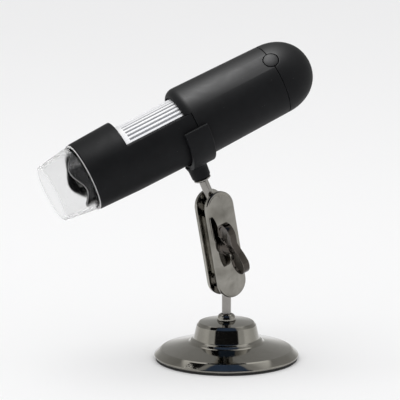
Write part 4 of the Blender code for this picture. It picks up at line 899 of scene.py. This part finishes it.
def make_clip():
    """C-shaped clip with a boss that flares into its underside."""
    low, high = CLIP_FRONT, CLIP_FRONT + CLIP_WIDTH
    bore_fillet, outer_fillet = 0.00025, 0.0006
    outline = rounded([
        (CLIP_BORE, high, bore_fillet), (CLIP_RADIUS, high, outer_fillet),
        (CLIP_RADIUS, low, outer_fillet), (CLIP_BORE, low, bore_fillet),
    ], 5)
    bm = bmesh.new()
    face = bm.faces.new([bm.verts.new((radius, 0, height)) for radius, height in outline])
    start = CLIP_HALF_OPENING
    bmesh.ops.rotate(bm, verts=bm.verts, matrix=Matrix.Rotation(start, 3, "Z"))
    geometry = list(bm.verts) + list(bm.edges) + [face]
    bmesh.ops.spin(bm, geom=geometry, axis=(0, 0, 1), angle=tau - 2 * start, steps=80)
    obj = put("c_clip", bm, SCOPE, SOFT_BLACK)
    to_scope = SCOPE.inverted() @ BOSS
    root = CLIP_RADIUS - 0.0012
    boss = rounded([
        (0, root, 0), (BOSS_RADIUS + 0.0009, root, 0),
        (BOSS_RADIUS + 0.0002, CLIP_RADIUS + 0.0009, 0.0012),
        (BOSS_RADIUS, BOSS_END, 0.0009), (0, BOSS_END, 0),
    ], 6)
    combine(obj, placed(turned(boss, FEW_SIDES), to_scope), "UNION")
    drill(obj, to_scope, radius=0.0029, low=0.01902, high=0.027)
    round_edges(obj, 0.0004, 4, radians(42))
    stand_for(obj, "holder", "body_black", "clip_holder")


# The clamp-arm stand


def make_studs():
    """Two balls on rods with a thinner threaded end, and the collar under the clip."""
    thread = 0.0015
    # From the ball's far pole to the rod
    ball = arc(BALL_RADIUS, -QUARTER, acos(ROD_RADIUS / BALL_RADIUS) + QUARTER, 22)
    for name, where, shoulder, tip, body, node in (
        ("upper_stud_turning", UPPER_STUD, 0.0124, 0.0189, "upper_stud", "upper_ball_stud"),
        ("lower_stud_turning", LOWER_STUD, 0.0177, 0.0235, "lower_stud", "lower_ball_stud"),
    ):
        rod = rounded([
            (ROD_RADIUS, shoulder - 0.001, 0), (ROD_RADIUS, shoulder, 0.00025),
            (thread, shoulder + 0.00005, 0), (thread, tip, 0.0003), (0, tip, 0),
        ])
        turn_piece(name, ball + rod[1:], FEW_SIDES, where, body, "bright_steel", node)
    bore, radius, low = 0.0018, 0.0039, BALL_TO_AXIS - 0.02612
    collar = rounded([
        (bore, low, 0), (radius - 0.0006, low, 0.00015), (radius, low + 0.00045, 0.00015),
        (radius, low + 0.001, 0.0002), (bore, low + 0.001, 0),
    ])
    held = "upper_stud", "bright_steel", "stem_washer"
    turn_piece("stem_collar", collar, FEW_SIDES, UPPER_STUD, *held)


def plate_outline(inset):
    """Outline of a clamp plate with its round ends, drawn in by the inset."""
    reach, radius = (PLATE_LENGTH - PLATE_WIDTH) / 2, PLATE_WIDTH / 2 - inset
    points = []
    for centre, start in ((reach, 0), (-reach, pi)):
        points += [(across, centre + up) for across, up in arc(radius, start, pi, 36)]
    return points


def make_arm_plate(name, side, body, node):
    """Clamp plate: rolled outer edge with a fine step, ball cups and middle block inside."""
    roll, roll_start = 0.0006, PLATE_OUTER - 0.0007
    layers = [(0.0002, PLATE_INNER), (0, PLATE_INNER + 0.0002), (0, roll_start)]
    for turn in sweep(0, QUARTER, 6)[1:]:
        layers.append((roll * (1 - cos(turn)), roll_start + roll * sin(turn)))
    for inset, below in ((0.00085, 0.0001), (0.00095, 0.00004), (0.0011, 0)):
        layers.append((inset, PLATE_OUTER - below))
    rings = [[(x, side * depth, z) for x, z in plate_outline(inset)] for inset, depth in layers]
    obj = put(name, skin(rings), ARM, ARM_METAL)
    wide, tall = 0.0046, 0.0135
    near, far = sorted((side * 0.00035, side * 0.004))
    block = box((-wide, near, -tall), (wide, far, tall))
    edges = list(block.edges)
    bmesh.ops.bevel(block, geom=edges, offset=0.0003, segments=3, affect="EDGES", profile=0.5)
    combine(obj, block, "UNION")
    cup = arc(CUP_RADIUS, -QUARTER, pi, 24)
    for end in (-1, 1):
        place = Matrix.Translation((0, 0, end * BALL_SPACING / 2))
        combine(obj, placed(turned(cup, FEW_SIDES), place))
    drill(obj, ARM.inverted() @ SCREW, radius=0.0022, low=-0.0102, high=0.0102)
    stand_for(obj, body, "gunmetal", node)


def make_clamp_parts():
    """Bolt through both plates, its head at the rear, and the washer under the nut."""
    head, shank, head_low, head_high, tip = 0.0037, 0.0019, -0.0074, -0.0054, 0.0104
    bolt = rounded([
        (0, head_low, 0), (head, head_low, 0.0009), (head, head_high, 0.00015),
        (shank, head_high, 0), (shank, tip, 0.0003), (0, tip, 0),
    ])
    turn_piece("clamp_bolt", bolt, FEW_SIDES, SCREW, "arm", "bright_steel", "clamp_screw")
    bore, radius, low, high = 0.0022, 0.0039, 0.0054, 0.0061
    corners = [(bore, low, 0.0001), (radius, low, 0.00015), (radius, high, 0.00015)]
    disc = turned(rounded(corners + [(bore, high, 0.0001)]), FEW_SIDES)
    washer = put("clamp_disc", disc, SCREW, DARK_NICKEL)
    stand_for(washer, "clamp_plate", "bright_steel", "clamp_washer")


def wing_outline(top):
    """One wing from its face: out from the hub, round a long lobe and back to the bridge."""
    out, up, long, tall = 0.0076, NUT_FOOT + 0.0051, 0.005, 0.0046
    points = [(0, NUT_FOOT + 0.0026), (0.0032, NUT_FOOT + 0.0022)]
    for degrees in sweep(-140, 245, 24):
        turn = radians(degrees)
        points.append((out + long * cos(turn), up + tall * sin(turn)))
    return points + [(0.003, top + 0.0002), (0, top)]


def make_wing_nut():
    """Hub with a foot, and two wings whose faces are sunk inside a rim."""
    hub_top = NUT_LOW + 0.0052
    corners = [
        (0, NUT_LOW, 0), (0.004, NUT_LOW, 0.0002), (0.004, NUT_FOOT + 0.0004, 0.0003),
        (0.0033, NUT_FOOT + 0.0007, 0.0003), (0.0029, hub_top, 0.0006), (0, hub_top, 0),
    ]
    obj = put("butterfly_nut", turned(rounded(corners), FEW_SIDES), NUT_UP, DARK_NICKEL)
    rim, slope, sunk = 0.0009, 0.0004, -0.0005
    for side in (-1, 1):
        bm = bmesh.new()
        wing = wing_outline(NUT_LOW + 0.0088)
        verts = [bm.verts.new((-WING_HALF_THICKNESS, side * out, up)) for out, up in wing]
        face = bm.faces.new(verts)
        made = bmesh.ops.extrude_face_region(bm, geom=[face])["geom"]
        moved = [item for item in made if isinstance(item, bmesh.types.BMVert)]
        bmesh.ops.translate(bm, vec=(2 * WING_HALF_THICKNESS, 0, 0), verts=moved)
        bmesh.ops.recalc_face_normals(bm, faces=bm.faces)
        big = [item for item in bm.faces if len(item.verts) > 6]
        bmesh.ops.inset_individual(bm, faces=big, thickness=rim, depth=0)
        bmesh.ops.inset_individual(bm, faces=big, thickness=slope, depth=sunk)
        for vert in bm.verts:
            # The wings leave the hub on opposite sides of its centre
            vert.co.x -= side * WING_ASIDE * min(abs(vert.co.y) / 0.004, 1)
        combine(obj, bm, "UNION")
    round_edges(obj, 0.0004, 4, radians(28))
    stand_for(obj, "wing_nut", "dark_nickel", "wing_nut")


def make_foot():
    """Polished foot with a double ring at its hub's root, its pad and the domed collar on top."""
    bore, seat, hub, hub_top, hub_under, bottom = 0.0018, 0.0176, 0.0046, 0.0169, 0.0164, 0.0012
    corners = [
        (bore, seat, 0), (hub, seat, 0.0003), (0.0122, hub_top, 0.0007),
        (0.0133, 0.0156, 0.0005), (0.0147, 0.0094, 0.001), (0.0159, 0.0089, 0.0006),
        (0.0168, 0.0078, 0.0018), (0.029, 0.0049, 0.0002), (0.0297, 0.0045, 0.0002),
        (0.0325, 0.002, 0.0006), (0.0319, bottom, 0.0001), (0.0305, bottom, 0),
        (0.0301, 0.0022, 0), (0.0156, 0.0067, 0), (0.0136, 0.0099, 0), (0.011, 0.0158, 0),
        (hub, hub_under, 0), (bore, hub_under, 0),
    ]
    foot = rounded(corners, 5)
    held = "stand", "gunmetal", "base_dome"
    turn_piece("polished_foot", foot, WIDE_SIDES, UPRIGHT, *held)
    radius, height, fillet = 0.0317, 0.0009, 0.0002
    pad = rounded([(0, 0, 0), (radius, 0, fillet), (radius, height, fillet), (0, height, 0)])
    held = "stand", "black_rubber", "base_pad"
    turn_piece("foot_pad", pad, WIDE_SIDES, UPRIGHT, *held)
    inner, low, rise, reach, edge = 0.00235, 0.0179, 0.0027, 0.00185, 0.0002
    collar = [(inner, low), (inner + reach, low)]
    for turn in sweep(0, QUARTER, 13)[:-1]:
        station = low + edge + (rise - edge) * sin(turn)
        collar.append((inner + reach * cos(turn), station))
    collar.append((inner, low + rise))
    turn_piece("domed_collar", collar, FEW_SIDES, UPRIGHT, "stand", "gunmetal", "base_collar")


def make_cable_inlet():
    """Rubber inlet in the dome's end, with a domed lip round its bore."""
    bore, neck, flange = 0.0018, 0.0026, 0.0038
    flange_top, lip = 0.1107, 0.11255
    corners = [
        (bore, flange_top - 0.0008, 0), (flange, flange_top - 0.0008, 0.0001),
        (flange, flange_top, 0.0001), (neck, flange_top, 0), (neck, lip, 0.0001),
        (bore + 0.0004, lip + 0.0003, 0.0002), (bore, lip + 0.0003, 0.0001),
    ]
    obj = put("inlet_grommet", turned(rounded(corners), FEW_SIDES), SCOPE, RUBBER)
    settle(obj)
    stand_for(obj, "microscope", "black_rubber", "cable_gland")


# Floor, light and camera


def make_floor():
    """Pale floor, which shows the object's shadow."""
    bm = bmesh.new()
    bmesh.ops.create_circle(bm, cap_ends=True, segments=64, radius=9)
    floor = put("floor", bm)
    finish, tree, shader = start_finish("pale_floor", roughness=0.9, specular_ior_level=0.1)
    shade = noise(tree, object_place(tree), 3, 2)
    pale = mixed_colour(tree, shade, (0.93, 0.93, 0.93), (0.94, 0.94, 0.94))
    link(tree, shader, Base_Color=pale)
    floor.data.materials.append(finish)


def light_studio(toward_camera):
    """Even light, a pale backdrop for the camera, and the studio that metal reflects."""
    world = bpy.data.worlds.new("studio")
    bpy.context.scene.world = world
    world.use_nodes = True
    tree = world.node_tree
    tree.nodes.clear()
    direction = add(tree, "TexCoord").outputs["Generated"]
    height = add(tree, "SeparateXYZ", {0: direction}).outputs["Z"]
    flat = Vector((toward_camera.x, toward_camera.y, 0)).normalized()
    toward = dot_product(tree, direction, flat)
    squared = times(tree, height, height)
    level = math_node(tree, "SQRT", math_node(tree, "SUBTRACT", 1.0001, squared))
    # 1 on the camera's side of the object and -1 on the far side
    bearing = math_node(tree, "DIVIDE", toward, level)
    # Backdrop on the far side: it darkens upward, up to a bright panel overhead
    far = ramp(tree, height, 0, 0.22, 0.85, 0.5)
    far = times(tree, far, ramp(tree, height, 0.22, 0.8, 1, 0.7))
    far = math_node(tree, "MAXIMUM", far, ramp(tree, height, 0.72, 0.78, 0, 1.2))
    # Pale cards on the camera's side
    near = ramp(tree, height, 0.45, 0.9, 0.95, 0.5)
    near = times(tree, near, ramp(tree, bearing, 0.32, 0.42, 1, 0.72))
    side = ramp(tree, bearing, -0.45, 0.1)
    far = times(tree, far, math_node(tree, "SUBTRACT", 1, side))
    studio = math_node(tree, "ADD", far, times(tree, near, side))
    # Dark card behind the camera, bluish at its top
    reach = math_node(tree, "ADD", bearing, ramp(tree, height, 0.6, 0.95, 0, 0.3))
    card = ramp(tree, reach, 0.7, 0.75)
    blue = ramp(tree, height, 0.5, 0.95)
    card_colour = mixed_colour(tree, blue, (0.012, 0.012, 0.013), (0.06, 0.095, 0.17))
    warmer = times(tree, studio, 0.985)
    grey = add(tree, "CombineColor", {0: studio, 1: studio, 2: warmer})
    reflected = mixed_colour(tree, card, grey.outputs[0], card_colour)
    path = add(tree, "LightPath").outputs
    lit = mixed_colour(tree, path["Is Glossy Ray"], (0.89, 0.89, 0.895), reflected)
    seen = math_node(tree, "MAXIMUM", path["Is Camera Ray"], path["Is Transmission Ray"])
    shown = mixed_colour(tree, seen, lit, (0.92, 0.92, 0.92))
    background = add(tree, "Background", {"Color": shown, "Strength": 1})
    add(tree, "OutputWorld", {"Surface": background.outputs[0]})


def add_softbox(name, place, size, watts, pieces=()):
    """Soft lamp aimed at the middle of the object. Given pieces, it lights only them."""
    light = bpy.data.lights.new(name, "AREA")
    light.shape = "RECTANGLE"
    light.size, light.size_y = size
    light.energy = watts
    obj = add_object(name, light)
    obj.location = place
    aim = Vector((0, 0, 0.07))
    obj.rotation_euler = (aim - Vector(place)).to_track_quat("-Z", "Y").to_euler()
    if pieces:
        lit = bpy.data.collections.new(name + "_pieces")
        for piece in pieces:
            lit.objects.link(bpy.data.objects[piece])
        obj.light_linking.receiver_collection = lit
    return obj


def hang_softboxes():
    """One lamp overhead, and one each for the shells, the barrel and the wheel."""
    overhead = add_softbox("overhead_softbox", (-0.2, 0, 1.1), (0.75, 0.55), 2.2)
    overhead.visible_glossy = False
    shells = "rear_sleeve_shell", "end_cap_dome", "snapshot_button_cap", "c_clip", "wavy_shroud"
    barrel = "front_barrel_shell", "wavy_shroud"
    for name, place, side, watts, pieces in (
        ("shell_softbox", (-0.065, -0.002, 0.49), 0.15, 5, shells),
        ("barrel_softbox", (-0.11, -0.06, 0.45), 0.2, 1.3, barrel),
    ):
        add_softbox(name, place, (side, side), watts, pieces).visible_diffuse = False
    add_softbox("wheel_softbox", (-0.22, -0.26, 0.42), (0.5, 0.5), 0.9, ("ribbed_wheel",))


def make_camera():
    """Camera fitted to the photograph. Gives the direction from the object to it."""
    target = Vector((-0.011136, 0.003904, 0.07206))
    back = Vector((-0.325, -0.927, 0.187)).normalized()
    distance = 1.1339
    data = bpy.data.cameras.new("camera")
    data.sensor_width = 36
    data.lens = 230.63
    data.clip_end = 50
    camera = add_object("camera", data)
    camera.location = target + back * distance
    camera.rotation_euler = back.to_track_quat("Z", "Y").to_euler()
    bpy.context.scene.camera = camera
    return back


finish_frame_nodes()
make_front_barrel()
make_rear_sleeve()
make_end_cap()
make_snapshot_button()
make_nose()
make_lamp_shroud()
make_lamps()
make_lamp_board()
make_lens()
make_focus_wheel()
make_clip()
make_studs()
make_arm_plate("rear_clamp_plate", 1, "arm", "arm_plate_rear")
make_arm_plate("front_clamp_plate", -1, "clamp_plate", "arm_plate_front")
make_clamp_parts()
make_wing_nut()
make_foot()
make_cable_inlet()

make_floor()
light_studio(make_camera())
hang_softboxes()
bpy.context.scene.view_settings.view_transform = "Standard"
